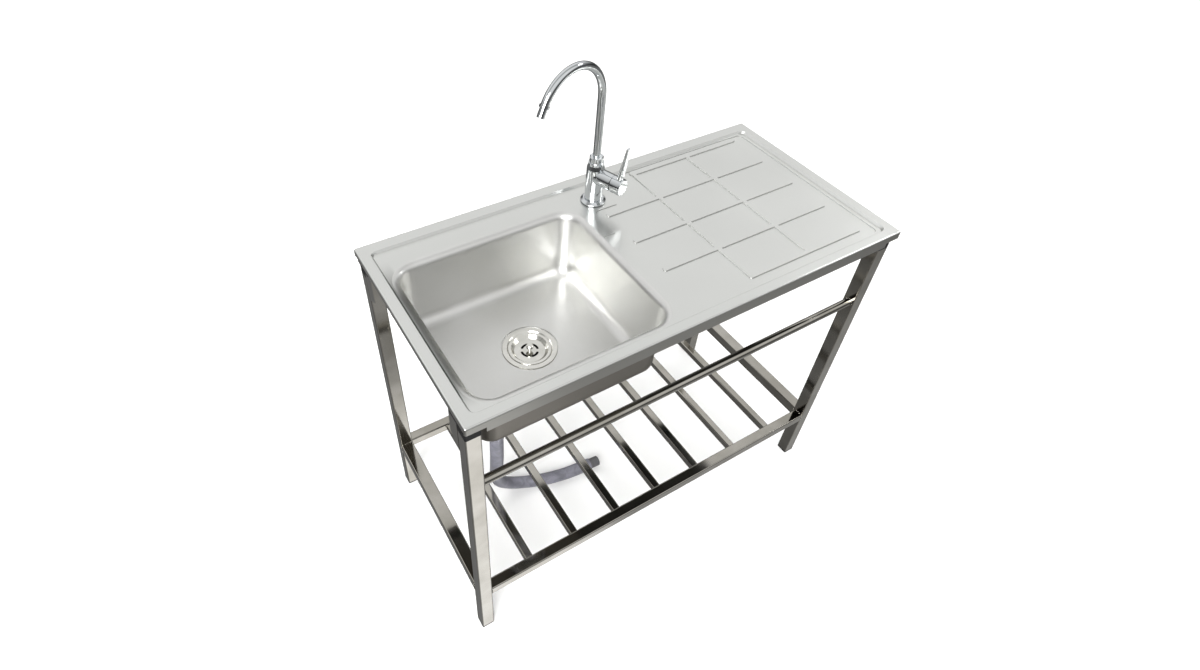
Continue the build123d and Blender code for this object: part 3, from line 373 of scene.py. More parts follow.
@dataclass(frozen=True)
class DeckSheet(Metal):
    """The deck's sheet: it dips towards the bowl at its left and front, with painted shade in
    places.

    How far a face looks up is the upward share of its normal: 1 when level, -1 for an underside.

    Attributes:
        left: Where the left dip starts and ends along X.
        left_tilt: The left dip's slope.
        left_reach: Where the left dip fades in and out along Y.
        front: Where the front dip starts and ends along Y.
        front_tilt: The front dip's slope.
        front_reach: Where the front dip fades in and out along X.
        dip_colour: The sRGB colour of the painted shade in the left dip, where the bowl's edge
            shades it.
        flank: How far the ribs' flanks look up: the start and end of the rise, then of the fall.
        flank_colour: The sRGB colour of the painted shade on the ribs' flanks.
        flank_roughness: The roughness of the ribs' flanks.
        side: The sRGB colour of the painted shade on the folded sides.
        side_limit: How far a face looks up below which it is a folded side.
        under: The sRGB colour of the painted shade on the underside.
        under_limit: How far a face looks up below which it is the underside.
    """

    left: Window = (-0.4785, -0.4765, -0.4600, -0.4500)
    left_tilt: float = 0.45
    left_reach: Window = (-0.215, -0.150, 0.080, 0.190)
    front: Window = (-0.2235, -0.2200, -0.2000, -0.1900)
    front_tilt: float = 0.16
    front_reach: Window = (-0.470, -0.400, -0.250, -0.060)
    # Painted shade in the left dip.
    dip_colour: str = "#979895"
    flank: Window = (0.40, 0.46, 0.58, 0.64)
    # Painted shade on the ribs' flanks.
    flank_colour: str = "#B4B5B2"
    flank_roughness: float = 0.60
    # Painted shade on the folded sides.
    side: str = "#A3A29D"
    side_limit: float = 0.25
    # Painted shade on the underside.
    under: str = "#605F5C"
    under_limit: float = -0.5

    def form(self, tree: Tree, place: Socket) -> Inputs:
        """Adds the two dips as a normal that leans towards the bowl.

        Args:
            tree: The shader tree.
            place: The place on the sheet.

        Returns:
            The bump's inputs.
        """
        return {"Normal": leaning(tree, {
            "X": patch(tree, place, {"X": self.left, "Y": self.left_reach}, self.left_tilt),
            "Y": patch(tree, place, {"Y": self.front, "X": self.front_reach}, self.front_tilt),
        })}

    def dress(self, tree: Tree, place: Socket, tone: Socket) -> Socket:
        """Paints shade on the sheet in the left dip, on the ribs' flanks, on the folded sides and
        below.

        Args:
            tree: The shader tree.
            place: The place on the sheet.
            tone: The patches' tone.

        Returns:
            The base colour.
        """
        up = self.up(tree)
        folded = add(tree, "ShaderNodeMath", {0: up, 1: self.side_limit}, operation="LESS_THAN")
        below = add(tree, "ShaderNodeMath", {0: up, 1: self.under_limit}, operation="LESS_THAN")
        # The coats below are painted shade: the left dip, the ribs' flanks, the folded sides and
        # the underside.
        return coated(tree, tone, (
            (patch(tree, place, {"X": self.left, "Y": self.left_reach}), self.dip_colour),
            (window(tree, up, self.flank), self.flank_colour),
            (folded.outputs[0], self.side),
            (below.outputs[0], self.under),
        ))

    def haze(self, tree: Tree, gloss: Socket) -> Socket:
        """Returns the roughness: greater on the ribs' flanks."""
        stretched = window(tree, self.up(tree), self.flank, self.flank_roughness)
        return add(tree, "ShaderNodeMath", {0: stretched, 1: gloss}, operation="MAXIMUM").outputs[0]

    @staticmethod
    def up(tree: Tree) -> Socket:
        """Returns how far the surface looks up."""
        facing = add(tree, "ShaderNodeNewGeometry").outputs["True Normal"]
        return add(tree, "ShaderNodeSeparateXYZ", {0: facing}).outputs["Z"]


@dataclass(frozen=True)
class DrawnBowl(Metal):
    """The bowl's sheet: satin, with a rim that leans inwards at its left, and painted shade there
    and outside.

    Attributes:
        outside: The sRGB colour of the painted shade outside, below the rim.
        middle: The middle of the bowl's hollow.
        rim: Where the leaning rim starts and ends along X.
        rim_tilt: How far the rim leans.
        rim_reach: Where the leaning rim fades in and out along Y.
        rim_level: The heights between which the rim sets in.
        rim_colour: The sRGB colour of the painted shade on the leaning rim.
    """

    # Painted shade outside the bowl, below the rim.
    outside: str = "#8A867F"
    middle: Place = (-0.260, -0.027, 0.745)
    rim: Window = (-0.480, -0.475, -0.4570, -0.4490)
    rim_tilt: float = 0.50
    rim_reach: Window = (-0.200, -0.130, 0.060, 0.150)
    rim_level: Span = (0.770, 0.782)
    # Painted shade on the leaning rim.
    rim_colour: str = "#979895"

    def left_rim(self, tree: Tree, place: Socket, height: float) -> Socket:
        """Adds a window over the leaning rim.

        Args:
            tree: The shader tree.
            place: The place on the bowl.
            height: The result on the rim.

        Returns:
            The window's output, which is 0 off the rim.
        """
        level = add(tree, "ShaderNodeSeparateXYZ", {0: place}).outputs["Z"]
        high = add(tree, "ShaderNodeMapRange", mapped(level, self.rim_level), **SMOOTH)
        strip = patch(tree, place, {"X": self.rim, "Y": self.rim_reach}, height)
        both = {0: strip, 1: high.outputs[0]}
        return add(tree, "ShaderNodeMath", both, operation="MULTIPLY").outputs[0]

    def form(self, tree: Tree, place: Socket) -> Inputs:
        """Returns the bump's inputs for the leaning rim."""
        return {"Normal": leaning(tree, {"X": self.left_rim(tree, place, self.rim_tilt)})}

    def dress(self, tree: Tree, place: Socket, tone: Socket) -> Socket:
        """Paints shade on the bowl's leaning rim, and outside below the rim.

        Args:
            tree: The shader tree.
            place: The place on the bowl.
            tone: The patches' tone.

        Returns:
            The base colour.
        """
        out = add(tree, "ShaderNodeVectorMath", {0: place, 1: self.middle}, operation="SUBTRACT")
        both = {0: out.outputs[0], 1: add(tree, "ShaderNodeNewGeometry").outputs["True Normal"]}
        away = add(tree, "ShaderNodeVectorMath", both, operation="DOT_PRODUCT").outputs["Value"]
        outer = add(tree, "ShaderNodeMath", {0: away, 1: 0.0}, operation="GREATER_THAN")
        height = add(tree, "ShaderNodeSeparateXYZ", {0: place}).outputs["Z"]
        low = add(tree, "ShaderNodeMapRange", mapped(height, self.rim_level, (1.0, 0.0)), **SMOOTH)
        both = {0: outer.outputs[0], 1: low.outputs[0]}
        outside_painted_shade = add(tree, "ShaderNodeMath", both, operation="MULTIPLY").outputs[0]
        # The coats below are painted shade: the leaning left rim, and the outside below the rim.
        return coated(tree, tone, (
            (self.left_rim(tree, place, 1.0), self.rim_colour),
            (outside_painted_shade, self.outside),
        ))


@dataclass(frozen=True)
class Moulding(Surface):
    """A moulded plastic or rubber surface: the mould's fine pebbles and the melt's cloudy flow.

    Attributes:
        pebble_mm: The size of the pebbles in millimetres.
        ior: The index of refraction.
    """

    DEPTH = 0.2 * MM
    GLOSS = (0.35, 0.65)
    TONE = (0.38, 0.62)
    PEBBLES = {"Detail": 2.0, "Roughness": 0.6}
    FLOW_SIZE = 22 * MM
    FLOW = {"Scale": 1 / FLOW_SIZE, "Detail": 3.0, "Roughness": 0.55, "Distortion": 0.6}

    pebble_mm: float
    ior: float = 1.49

    def patterns(self, tree: Tree, place: Socket) -> tuple[Socket, Socket, Socket]:
        """Adds the pebbles and the flow. The roughness follows the flow.

        Args:
            tree: The shader tree.
            place: The place on the piece.

        Returns:
            The pebbles, and the flow twice.
        """
        pebbles = add(tree, "ShaderNodeTexNoise", {
            "Vector": place, "Scale": 1 / (self.pebble_mm * MM), **self.PEBBLES,
        })
        flow = add(tree, "ShaderNodeTexNoise", {"Vector": place, **self.FLOW})
        return pebbles.outputs[0], flow.outputs[0], flow.outputs[0]

    def substance(self, tree: Tree) -> Inputs:
        """Returns the shader's inputs that make it plastic or rubber."""
        return {"IOR": self.ior}


class Finish(Enum):
    """The finishes of the unit, each named for the record's slot that it dresses."""

    # Stainless 304 sheet, rolled and fine-brushed along the deck: soft sheen with faint long lines.
    # Real lines are about 0.1 mm apart, and are drawn coarser here and below so that they show.
    BRUSHED_DECK = DeckSheet(
        "stainless_304_brushed_sheet", "#D8D9D6", "#D2D3D0", (0.28, 0.34),
        line_mm=0.8, patch_mm=220, relief=0.012, grain=Grain.ALONG_X, stretch=0.7,
    )
    # Stainless 304, deep drawn and satin finished: a cloudy, softer sheen than the flat sheet's.
    SATIN_BOWL = DrawnBowl(
        "stainless_304_satin_drawn", "#D6D6D4", "#D0D0CD", (0.35, 0.45),
        line_mm=1.0, patch_mm=140, relief=0.03, grain=Grain.AROUND, stretch=0.6,
    )
    # Stainless 201 tube, mirror polished: sharp reflections, slightly streaked and uneven.
    POLISHED_TUBE = Metal(
        "stainless_201_polished_tube", "#ABA8A1", "#9A978F", (0.06, 0.13),
        line_mm=1.0, patch_mm=70, relief=0.02, grain=Grain.EVEN,
    )
    # Stainless 304 pressing, polished: bright with a slight haze.
    POLISHED_STRAINER = Metal(
        "stainless_304_polished_pressing", "#D2D1CC", "#C6C5BF", (0.10, 0.20),
        line_mm=0.8, patch_mm=30, relief=0.04, grain=Grain.EVEN,
    )
    # Brass with bright chrome plate: near-perfect mirror, cool white.
    CHROME_TAP = Metal(
        "chrome_plate_on_brass", "#CDD0D1", "#C5C8CA", (0.03, 0.06),
        line_mm=6.0, patch_mm=40, relief=0.0, grain=Grain.EVEN,
    )
    # Zinc-plated mild steel: bluish grey, finely spangled.
    ZINC_STEEL = Metal(
        "zinc_plated_steel", "#B9BDC1", "#A3A8AD", (0.25, 0.42),
        line_mm=0.6, patch_mm=3, relief=0.12, grain=Grain.EVEN,
    )
    # Free-cutting brass, turned and left bare: warm, with the fine marks of the tool.
    RAW_BRASS = Metal(
        "turned_brass", "#C9A867", "#B08E50", (0.20, 0.34),
        line_mm=0.5, patch_mm=9, relief=0.15, grain=Grain.EVEN,
    )
    # Polypropylene, injection moulded, black: fine matt mould texture.
    BLACK_PLASTIC = Moulding(
        "black_polypropylene", "#0B0B0C", "#060607", (0.55, 0.68),
        pebble_mm=0.9, relief=0.20, ior=1.45,
    )
    # Nitrile rubber, moulded: deep matt black.
    BLACK_RUBBER = Moulding(
        "nitrile_rubber", "#141414", "#0D0D0D", (0.60, 0.75), pebble_mm=0.7, relief=0.15, ior=1.52
    )
    # Polypropylene, injection moulded, grey: a satin skin.
    GREY_PLASTIC = Moulding(
        "grey_polypropylene", "#85858A", "#78787D", (0.34, 0.46), pebble_mm=1.1, relief=0.12
    )
    # Acetal, moulded: milky white, slightly glossy.
    WHITE_PLASTIC = Moulding(
        "white_acetal", "#E6E5DF", "#DAD9D2", (0.28, 0.36), pebble_mm=1.0, relief=0.05, ior=1.48
    )
    # Soft PVC hose, extruded: blue-grey with cloudy patches.
    GREY_HOSE = Moulding(
        "soft_pvc_hose", "#80808A", "#6B6B74", (0.34, 0.46), pebble_mm=1.3, relief=0.15, ior=1.53
    )
    # Soft PVC sleeve, dip moulded: a darker grey.
    DARK_HOSE_TIP = Moulding(
        "dark_pvc_sleeve", "#5A5A5C", "#4E4E50", (0.40, 0.52), pebble_mm=1.0, relief=0.15, ior=1.53
    )


class Finishes:
    """Makes each finish once, and dresses the carried-over nodes with it."""

    def __init__(self) -> None:
        """Makes every finish."""
        self.made = {finish: finish.value.make() for finish in Finish}

    def of(self, finish: Finish) -> bpy.types.Material:
        """Returns the material of a finish."""
        return self.made[finish]

    def dress(self, piece: bpy.types.Object, finish: Finish) -> None:
        """Gives a piece one material."""
        piece.data.materials.clear()
        piece.data.materials.append(self.of(finish))

    def dress_nodes(self) -> None:
        """Gives every node of the frame the finish of its slot."""
        for part in frame["record"]["subparts"]:
            node = frame["nodes"][part["node"]]
            self.dress(node, Finish[part["material_slot"].upper()])
            LOG.info("dressed %s with %s", part["node"], part["material_slot"])


# ---- Shapes that repeat ----
class ShapeTree:
    """A geometry node tree with named inputs that ends in realized instances and one material."""

    def __init__(self, name: str, inputs: dict[str, str]) -> None:
        """Starts a tree.

        Args:
            name: The tree's name.
            inputs: The kind of each input socket, by its name.
        """
        self.tree = bpy.data.node_groups.new(name, "GeometryNodeTree")
        self.tree.interface.new_socket(
            "Geometry", in_out="OUTPUT", socket_type="NodeSocketGeometry"
        )
        for label, kind in {"Geometry": "Geometry", **inputs, "Material": "Material"}.items():
            self.tree.interface.new_socket(label, in_out="INPUT", socket_type=f"NodeSocket{kind}")
        self.given = self.add("NodeGroupInput")

    def add(self, kind: str, inputs: Inputs | None = None, **settings: Any) -> Node:
        """Adds one node to the tree, as the function of the same name does."""
        return add(self.tree, kind, inputs, **settings)

    def value(self, label: str) -> Socket:
        """Returns the socket of a named input."""
        return self.given.outputs[label]

    def end(self, shape: Socket) -> None:
        """Realizes the shape, shades it smooth, gives it the material and ends the tree.

        Args:
            shape: The finished shape.
        """
        real = self.add("GeometryNodeRealizeInstances", {"Geometry": shape})
        smooth = self.add("GeometryNodeSetShadeSmooth", {"Geometry": real.outputs[0]})
        dressed = self.add("GeometryNodeSetMaterial", {
            "Geometry": smooth.outputs[0], "Material": self.value("Material"),
        })
        self.add("NodeGroupOutput", {"Geometry": dressed.outputs[0]})

    def run(
        self, name: str, values: dict[str, Any], source: bpy.types.Mesh | None = None
    ) -> bpy.types.Object:
        """Runs the tree once.

        Args:
            name: The piece's name.
            values: The value of each named input.
            source: The mesh that the tree starts from, if it takes one.

        Returns:
            A piece with the result as its own plain mesh.
        """
        piece = new_piece(name, source or bpy.data.meshes.new(f"{name}_source"))
        modifier = piece.modifiers.new("shape", "NODES")
        modifier.node_group = self.tree
        for item in self.tree.interface.items_tree:
            if item.in_out == "INPUT" and item.name in values:
                modifier[item.identifier] = values[item.name]
        seen = piece.evaluated_get(bpy.context.evaluated_depsgraph_get())
        mesh = bpy.data.meshes.new_from_object(seen)
        piece.modifiers.remove(modifier)
        piece.data = mesh
        mesh.name = name
        LOG.info("%s: %d faces", name, len(mesh.polygons))
        return piece


def mesh_of(
    name: str, points: Sequence[Vector], edges: Sequence[tuple[int, int]]
) -> bpy.types.Mesh:
    """Makes a mesh of points and edges without faces.

    Args:
        name: The mesh's name.
        points: The points.
        edges: The numbers of each edge's two points.

    Returns:
        The new mesh.
    """
    mesh = bpy.data.meshes.new(name)
    mesh.from_pydata([tuple(p) for p in points], edges, [])
    return mesh


# ---- Weld seams ----
@dataclass
class WeldSeams:
    """Fine beads of weld round the ends of the shelf's slats and rails and the round cross rail."""

    finishes: Finishes
    bead: float = 0.9 * MM
    uneven: Span = (0.75, 1.2)
    step: float = 1.5 * MM
    corner: float = 2.5 * MM
    sides: int = 24
    slats: int = 7
    seed: int = 7
    points: list[Vector] = field(default_factory=list)
    edges: list[tuple[int, int]] = field(default_factory=list)

    def loop(self, ring: Sequence[Vector]) -> None:
        """Adds one closed seam.

        Args:
            ring: The points that it runs through, in order.
        """
        first = len(self.points)
        self.points.extend(ring)
        self.edges.extend((first + n, first + (n + 1) % len(ring)) for n in range(len(ring)))

    def around(self, node: str, axis: int) -> None:
        """Adds a seam round both ends of a straight tube.

        Args:
            node: The tube's CAD node.
            axis: The number of the axis that the tube runs along.
        """
        low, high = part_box(node)
        across = [n for n in range(3) if n != axis]
        middle = [(low[n] + high[n]) / 2 for n in across]
        half = [(high[n] - low[n]) / 2 for n in across]
        cut = self.corner
        shape = [(-1, -1, cut, 0), (1, -1, -cut, 0), (1, -1, 0, cut), (1, 1, 0, -cut),
                 (1, 1, -cut, 0), (-1, 1, cut, 0), (-1, 1, 0, -cut), (-1, -1, 0, cut)]
        for end in (low[axis], high[axis]):
            ring = []
            for side_a, side_b, shift_a, shift_b in shape:
                point = [0.0, 0.0, 0.0]
                point[axis] = end
                point[across[0]] = middle[0] + side_a * half[0] + shift_a
                point[across[1]] = middle[1] + side_b * half[1] + shift_b
                ring.append(Vector(point))
            self.loop(ring)

    def around_round(self, node: str) -> None:
        """Adds a seam round both ends of a round rail that runs along X.

        Args:
            node: The rail's CAD node.
        """
        low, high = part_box(node)
        y, z, radius = (low[1] + high[1]) / 2, (low[2] + high[2]) / 2, (high[2] - low[2]) / 2
        for x in (low[0], high[0]):
            turns = [math.tau * n / self.sides for n in range(self.sides)]
            self.loop([
                Vector((x, y + radius * math.cos(t), z + radius * math.sin(t))) for t in turns
            ])

    @staticmethod
    def tree() -> ShapeTree:
        """Builds the tree: beads of uneven size at even steps along each seam.

        Returns:
            The finished tree.
        """
        shape = ShapeTree("weld_beads", {
            "Bead": "Float", "Step": "Float", "Least": "Float", "Most": "Float", "Seed": "Int",
        })
        seams = shape.add("GeometryNodeMeshToCurve", {"Mesh": shape.value("Geometry")})
        steps = shape.add("GeometryNodeResampleCurve", {
            "Curve": seams.outputs[0], "Length": shape.value("Step"),
        }, mode="LENGTH")
        bead = shape.add("GeometryNodeMeshIcoSphere", {
            "Radius": shape.value("Bead"), "Subdivisions": 1,
        })
        uneven = shape.add("FunctionNodeRandomValue", {
            2: shape.value("Least"), 3: shape.value("Most"), "Seed": shape.value("Seed"),
        }, data_type="FLOAT")
        beads = shape.add("GeometryNodeInstanceOnPoints", {
            "Points": steps.outputs[0], "Instance": bead.outputs["Mesh"],
            "Scale": uneven.outputs[1],
        })
        shape.end(beads.outputs[0])
        return shape

    def build(self) -> None:
        for n in range(self.slats):
            self.around(f"shelf_slat_{n + 1}", 1)
        for side in ("front", "back"):
            self.around(f"shelf_rail_{side}", 0)
        for side in ("left", "right"):
            self.around(f"shelf_rail_{side}", 1)
        self.around_round("mid_rail")
        source = mesh_of("seams", self.points, self.edges)
        seams = self.tree().run("weld_seams", {
            "Bead": self.bead, "Step": self.step, "Seed": self.seed,
            "Least": self.uneven[0], "Most": self.uneven[1],
            "Material": self.finishes.of(Finish.POLISHED_TUBE),
        }, source)
        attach(seams, UNIT)


# ---- Threads ----
@dataclass
class Thread:
    """One turned thread on an upright round piece.

    Attributes:
        name: The piece's name.
        foot: The centre of the thread's lower end.
        radius: The radius of the cylinder that carries it.
        height: The threaded length.
        pitch: The rise of one turn.
        finish: The thread's finish.
        ridge_share: The ridge's radius as a share of the pitch.
    """

    name: str
    foot: Place
    radius: float
    height: float
    pitch: float
    finish: Finish
    ridge_share: float = 0.42

    def build(self, tree: ShapeTree, finishes: Finishes) -> None:
        """Args:
            tree: The tree of a thread's ridge.
            finishes: The finishes of the unit.
        """
        thread = tree.run(self.name, {
            "Radius": self.radius, "Height": self.height, "Turns": self.height / self.pitch,
            "Ridge": self.ridge_share * self.pitch, "Foot": self.foot,
            "Material": finishes.of(self.finish),
        })
        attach(thread, UNIT)


@dataclass
class Threads:
    """The threads that show: on the tap's shank and on the strainer's cup, both under the deck."""

    TURN_STEPS = 36
    RIDGE_SIDES = 4

    finishes: Finishes
    threads: Sequence[Thread] = (
        Thread(
            "shank_thread", foot=(*TAP, 0.7515), radius=14.0 * MM, height=31.0 * MM,
            pitch=1.5 * MM, finish=Finish.RAW_BRASS,
        ),
        Thread(
            "strainer_thread", foot=(-0.258, -0.025, 0.6015), radius=43.0 * MM,
            height=22.0 * MM, pitch=2.0 * MM, finish=Finish.POLISHED_STRAINER,
        ),
    )

    def tree(self) -> ShapeTree:
        """Builds the tree: a ridge along a spiral.

        Returns:
            The finished tree.
        """
        shape = ShapeTree("thread_ridge", {
            "Radius": "Float", "Height": "Float", "Turns": "Float", "Ridge": "Float",
            "Foot": "Vector",
        })
        path = shape.add("GeometryNodeCurveSpiral", {
            "Resolution": self.TURN_STEPS, "Rotations": shape.value("Turns"),
            "Start Radius": shape.value("Radius"), "End Radius": shape.value("Radius"),
            "Height": shape.value("Height"),
        })
        ridge = shape.add("GeometryNodeCurvePrimitiveCircle", {
            "Resolution": self.RIDGE_SIDES, "Radius": shape.value("Ridge"),
        })
        swept = shape.add("GeometryNodeCurveToMesh", {
            "Curve": path.outputs[0], "Profile Curve": ridge.outputs[0], "Fill Caps": True,
        })
        placed = shape.add("GeometryNodeTransform", {
            "Geometry": swept.outputs[0], "Translation": shape.value("Foot"),
        })
        shape.end(placed.outputs[0])
        return shape

    def build(self) -> None:
        """Builds every thread."""
        tree = self.tree()
        for thread in self.threads:
            thread.build(tree, self.finishes)


# ---- Aerator screen ----
@dataclass
class AeratorScreen:
    """The wire screen in the spout's end.

    The end starts at `reach` from the tap's middle along `heading`, at the height `level`, and
    points down with an outward `lean`. The screen lies `depth` further along it.
    """

    WIRE_SIDES = 5

    finishes: Finishes
    heading: float = math.radians(-164.5)
    reach: float = 158.17 * MM
    level: float = 1078.4 * MM
    lean: float = math.radians(28)
    depth: float = 17.3 * MM
    radius: float = 5.5 * MM
    spacing: float = 0.9 * MM
    wire: float = 0.16 * MM

    def place(self) -> tuple[Vector, Sequence[float]]:
        """Works out where the screen sits in the spout's end.

        Returns:
            Its centre and its rotation.
        """
        out = self.reach + self.depth * math.sin(self.lean)
        centre = Vector((
            TAP[0] + out * math.cos(self.heading),
            TAP[1] + out * math.sin(self.heading),
            self.level - self.depth * math.cos(self.lean),
        ))
        return centre, (0.0, -self.lean, self.heading)

    def tree(self) -> ShapeTree:
        """Builds the tree: wires across a disc in two directions.

        Returns:
            The finished tree.
        """
        shape = ShapeTree("wire_screen", {
            "Radius": "Float", "Spacing": "Float", "Count": "Int", "Wire": "Float",
            "Centre": "Vector", "Turn": "Rotation",
        })
        gaps = shape.add("ShaderNodeMath", {0: shape.value("Count"), 1: 1.0}, operation="SUBTRACT")
        span = shape.add("ShaderNodeMath", {
            0: gaps.outputs[0], 1: shape.value("Spacing"),
        }, operation="MULTIPLY")
        start = shape.add("ShaderNodeMath", {0: span.outputs[0], 1: -0.5}, operation="MULTIPLY")
        first = shape.add("ShaderNodeCombineXYZ", {"X": start.outputs[0]})
        gap = shape.add("ShaderNodeCombineXYZ", {"X": shape.value("Spacing")})
        row = shape.add("GeometryNodeMeshLine", {
            "Count": shape.value("Count"), "Start Location": first.outputs[0],
            "Offset": gap.outputs[0],
        }, mode="OFFSET")
        place = shape.add("GeometryNodeInputPosition")
        parts = shape.add("ShaderNodeSeparateXYZ", {0: place.outputs[0]})
        out_squared, radius_squared = (
            shape.add("ShaderNodeMath", {0: side, 1: 2.0}, operation="POWER").outputs[0]
            for side in (parts.outputs["X"], shape.value("Radius"))
        )
        rest = shape.add("ShaderNodeMath", {
            0: radius_squared, 1: out_squared,
        }, operation="SUBTRACT")
        chord = shape.add("ShaderNodeMath", {0: rest.outputs[0]}, operation="SQRT")
        size = shape.add("ShaderNodeCombineXYZ", {"X": 1.0, "Y": chord.outputs[0], "Z": 1.0})
        line = shape.add("GeometryNodeCurvePrimitiveLine", {"Start": (0, -1, 0), "End": (0, 1, 0)})
        wires = shape.add("GeometryNodeInstanceOnPoints", {
            "Points": row.outputs[0], "Instance": line.outputs[0], "Scale": size.outputs[0],
        })
        real = shape.add("GeometryNodeRealizeInstances", {"Geometry": wires.outputs[0]})
        section = shape.add("GeometryNodeCurvePrimitiveCircle", {
            "Resolution": self.WIRE_SIDES, "Radius": shape.value("Wire"),
        })
        solid = shape.add("GeometryNodeCurveToMesh", {
            "Curve": real.outputs[0], "Profile Curve": section.outputs[0], "Fill Caps": True,
        })
        crossed = shape.add("GeometryNodeTransform", {
            "Geometry": solid.outputs[0], "Rotation": (0, 0, math.pi / 2),
        })
        both = shape.add("GeometryNodeJoinGeometry")
        shape.tree.links.new(solid.outputs[0], both.inputs[0])
        shape.tree.links.new(crossed.outputs[0], both.inputs[0])
        placed = shape.add("GeometryNodeTransform", {
            "Geometry": both.outputs[0], "Translation": shape.value("Centre"),
            "Rotation": shape.value("Turn"),
        })
        shape.end(placed.outputs[0])
        return shape

    def build(self) -> None:
        centre, turn = self.place()
        screen = self.tree().run("aerator_screen", {
            "Radius": self.radius, "Spacing": self.spacing,
            "Count": 2 * int(self.radius / self.spacing) + 1,
            "Wire": self.wire, "Centre": tuple(centre), "Turn": turn,
            "Material": self.finishes.of(Finish.POLISHED_STRAINER),
        })
        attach(screen, "spout")


# ---- Bracket screws ----
@dataclass
class PanScrews:
    """The four cross-recessed pan-head screws that hold the brackets, heads down.

    A head is domed: its face falls by `dome_drop` of its height from the middle to the edge, and
    the greater `dome_power` is, the nearer to the edge it falls.
    """

    finishes: Finishes
    spread: tuple[float, float] = (484 * MM, 188.5 * MM)
    level: float = 774.5 * MM
    head_radius: float = 4.6 * MM
    head_height: float = 2.4 * MM
    dome_drop: float = 0.55
    dome_power: float = 3.2
    shank_radius: float = 2.5 * MM
    shank_length: float = 9.0 * MM
    tip: float = 0.8 * MM
    recess_width: float = 1.1 * MM
    recess_reach: float = 2.7 * MM
    recess_depth: float = 1.3 * MM
    rings: int = 16
    sides: int = 48
    seed: int = 3

    def head_level(self, radius: float, turn: float) -> float:
        """Finds the level of the head's face, which a cross is sunk into.

        Args:
            radius: The distance from the screw's middle.
            turn: The angle round it.

        Returns:
            The level, which is negative because the head hangs below its seat.
        """
        fall = self.dome_drop * (radius / self.head_radius) ** self.dome_power
        dome = self.head_height * (1 - fall)
        across, along = sorted((abs(radius * math.cos(turn)), abs(radius * math.sin(turn))))
        in_cross = across < self.recess_width / 2 and along < self.recess_reach
        return -(dome - self.recess_depth) if in_cross else -dome

    def shape(self) -> bpy.types.Mesh:
        """Builds one screw, seat at the origin and head down.

        Returns:
            The screw's mesh.
        """
        radii = [self.head_radius * n / self.rings for n in range(1, self.rings + 1)]
        turns = [math.tau * n / self.sides for n in range(self.sides)]
        rings = [
            [(r * math.cos(t), r * math.sin(t), self.head_level(r, t)) for t in turns]
            for r in radii
        ]
        shank = (
            (self.head_radius, 0.0),
            (self.shank_radius, 0.0),
            (self.shank_radius, self.shank_length),
        )
        rings += [[(r * math.cos(t), r * math.sin(t), z) for t in turns] for r, z in shank]
        points = [(0.0, 0.0, self.head_level(0.0, 0.0))] + [p for ring in rings for p in ring]
        points.append((0.0, 0.0, self.shank_length + self.tip))
        count, last = self.sides, len(points) - 1
        faces: list[tuple[int, ...]] = [(0, 1 + (n + 1) % count, 1 + n) for n in range(count)]
        for ring in range(len(rings) - 1):
            a, b = 1 + ring * count, 1 + (ring + 1) * count
            steps = [(n, (n + 1) % count) for n in range(count)]
            faces += [(a + n, a + after, b + after, b + n) for n, after in steps]
        edge = 1 + (len(rings) - 1) * count
        faces += [(edge + n, edge + (n + 1) % count, last) for n in range(count)]
        mesh = bpy.data.meshes.new("pan_screw")
        mesh.from_pydata(points, [], faces)
        return mesh

    @staticmethod
    def tree() -> ShapeTree:
        """Builds the tree: one screw at each point, each turned by its own angle.

        Returns:
            The finished tree.
        """
        shape = ShapeTree("screw_places", {"Screw": "Object", "Seed": "Int"})
        screw = shape.add("GeometryNodeObjectInfo", {"Object": shape.value("Screw")})
        turn = shape.add("FunctionNodeRandomValue", {
            0: (0, 0, 0), 1: (0, 0, math.tau), "Seed": shape.value("Seed"),
        }, data_type="FLOAT_VECTOR")
        screws = shape.add("GeometryNodeInstanceOnPoints", {
            "Points": shape.value("Geometry"), "Instance": screw.outputs["Geometry"],
            "Rotation": turn.outputs[0],
        })
        shape.end(screws.outputs[0])
        return shape

    def build(self) -> None:
        pattern = new_piece("screw_pattern", self.shape())
        places = [
            Vector((a * self.spread[0], b * self.spread[1], self.level))
            for a in (-1, 1) for b in (-1, 1)
        ]
        screws = self.tree().run("pan_screws", {
            "Screw": pattern, "Seed": self.seed, "Material": self.finishes.of(Finish.ZINC_STEEL),
        }, mesh_of("screw_places", places, []))
        bpy.data.objects.remove(pattern)
        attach(screws, UNIT)
        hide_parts("bracket_screws")


# ---- Waste hose ----
@dataclass
class WasteHose:
    """The soft waste hose: one smooth spline from the cuff to the end sleeve on the floor."""

    finishes: Finishes
    radius: float = 16 * MM
    length: float = 0.589
    smoothness: int = 16
    roundness: int = 10
    order: int = 3
    route: Sequence[Place] = (
        (-0.335, -0.014, 0.372), (-0.335, -0.014, 0.318), (-0.331, -0.002, 0.250),
        (-0.323, 0.020, 0.176), (-0.314, 0.037, 0.117), (-0.300, 0.048, 0.074),
        (-0.275, 0.052, 0.041), (-0.239, 0.046, 0.021), (-0.195, 0.031, 0.016),
        (-0.147, 0.017, 0.016), (-0.096, 0.0085, 0.016), (-0.046, 0.005, 0.016),
    )

    def build(self) -> None:
        curve = bpy.data.curves.new("waste_hose", "CURVE")
        curve.dimensions = "3D"
        curve.resolution_u = self.smoothness
        curve.bevel_depth = self.radius
        curve.bevel_resolution = self.roundness
        spline = curve.splines.new("NURBS")
        spline.points.add(len(self.route) - 1)
        for point, place in zip(spline.points, self.route):
            point.co = (*place, 1.0)
        spline.order_u = self.order
        spline.use_endpoint_u = True
        hose = new_piece("waste_hose", curve)
        self.finishes.dress(hose, Finish.GREY_HOSE)
        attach(hose, UNIT)
        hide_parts("drain_hose")
        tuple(self.route[0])
        LOG.info("waste hose: %d points", len(self.route))


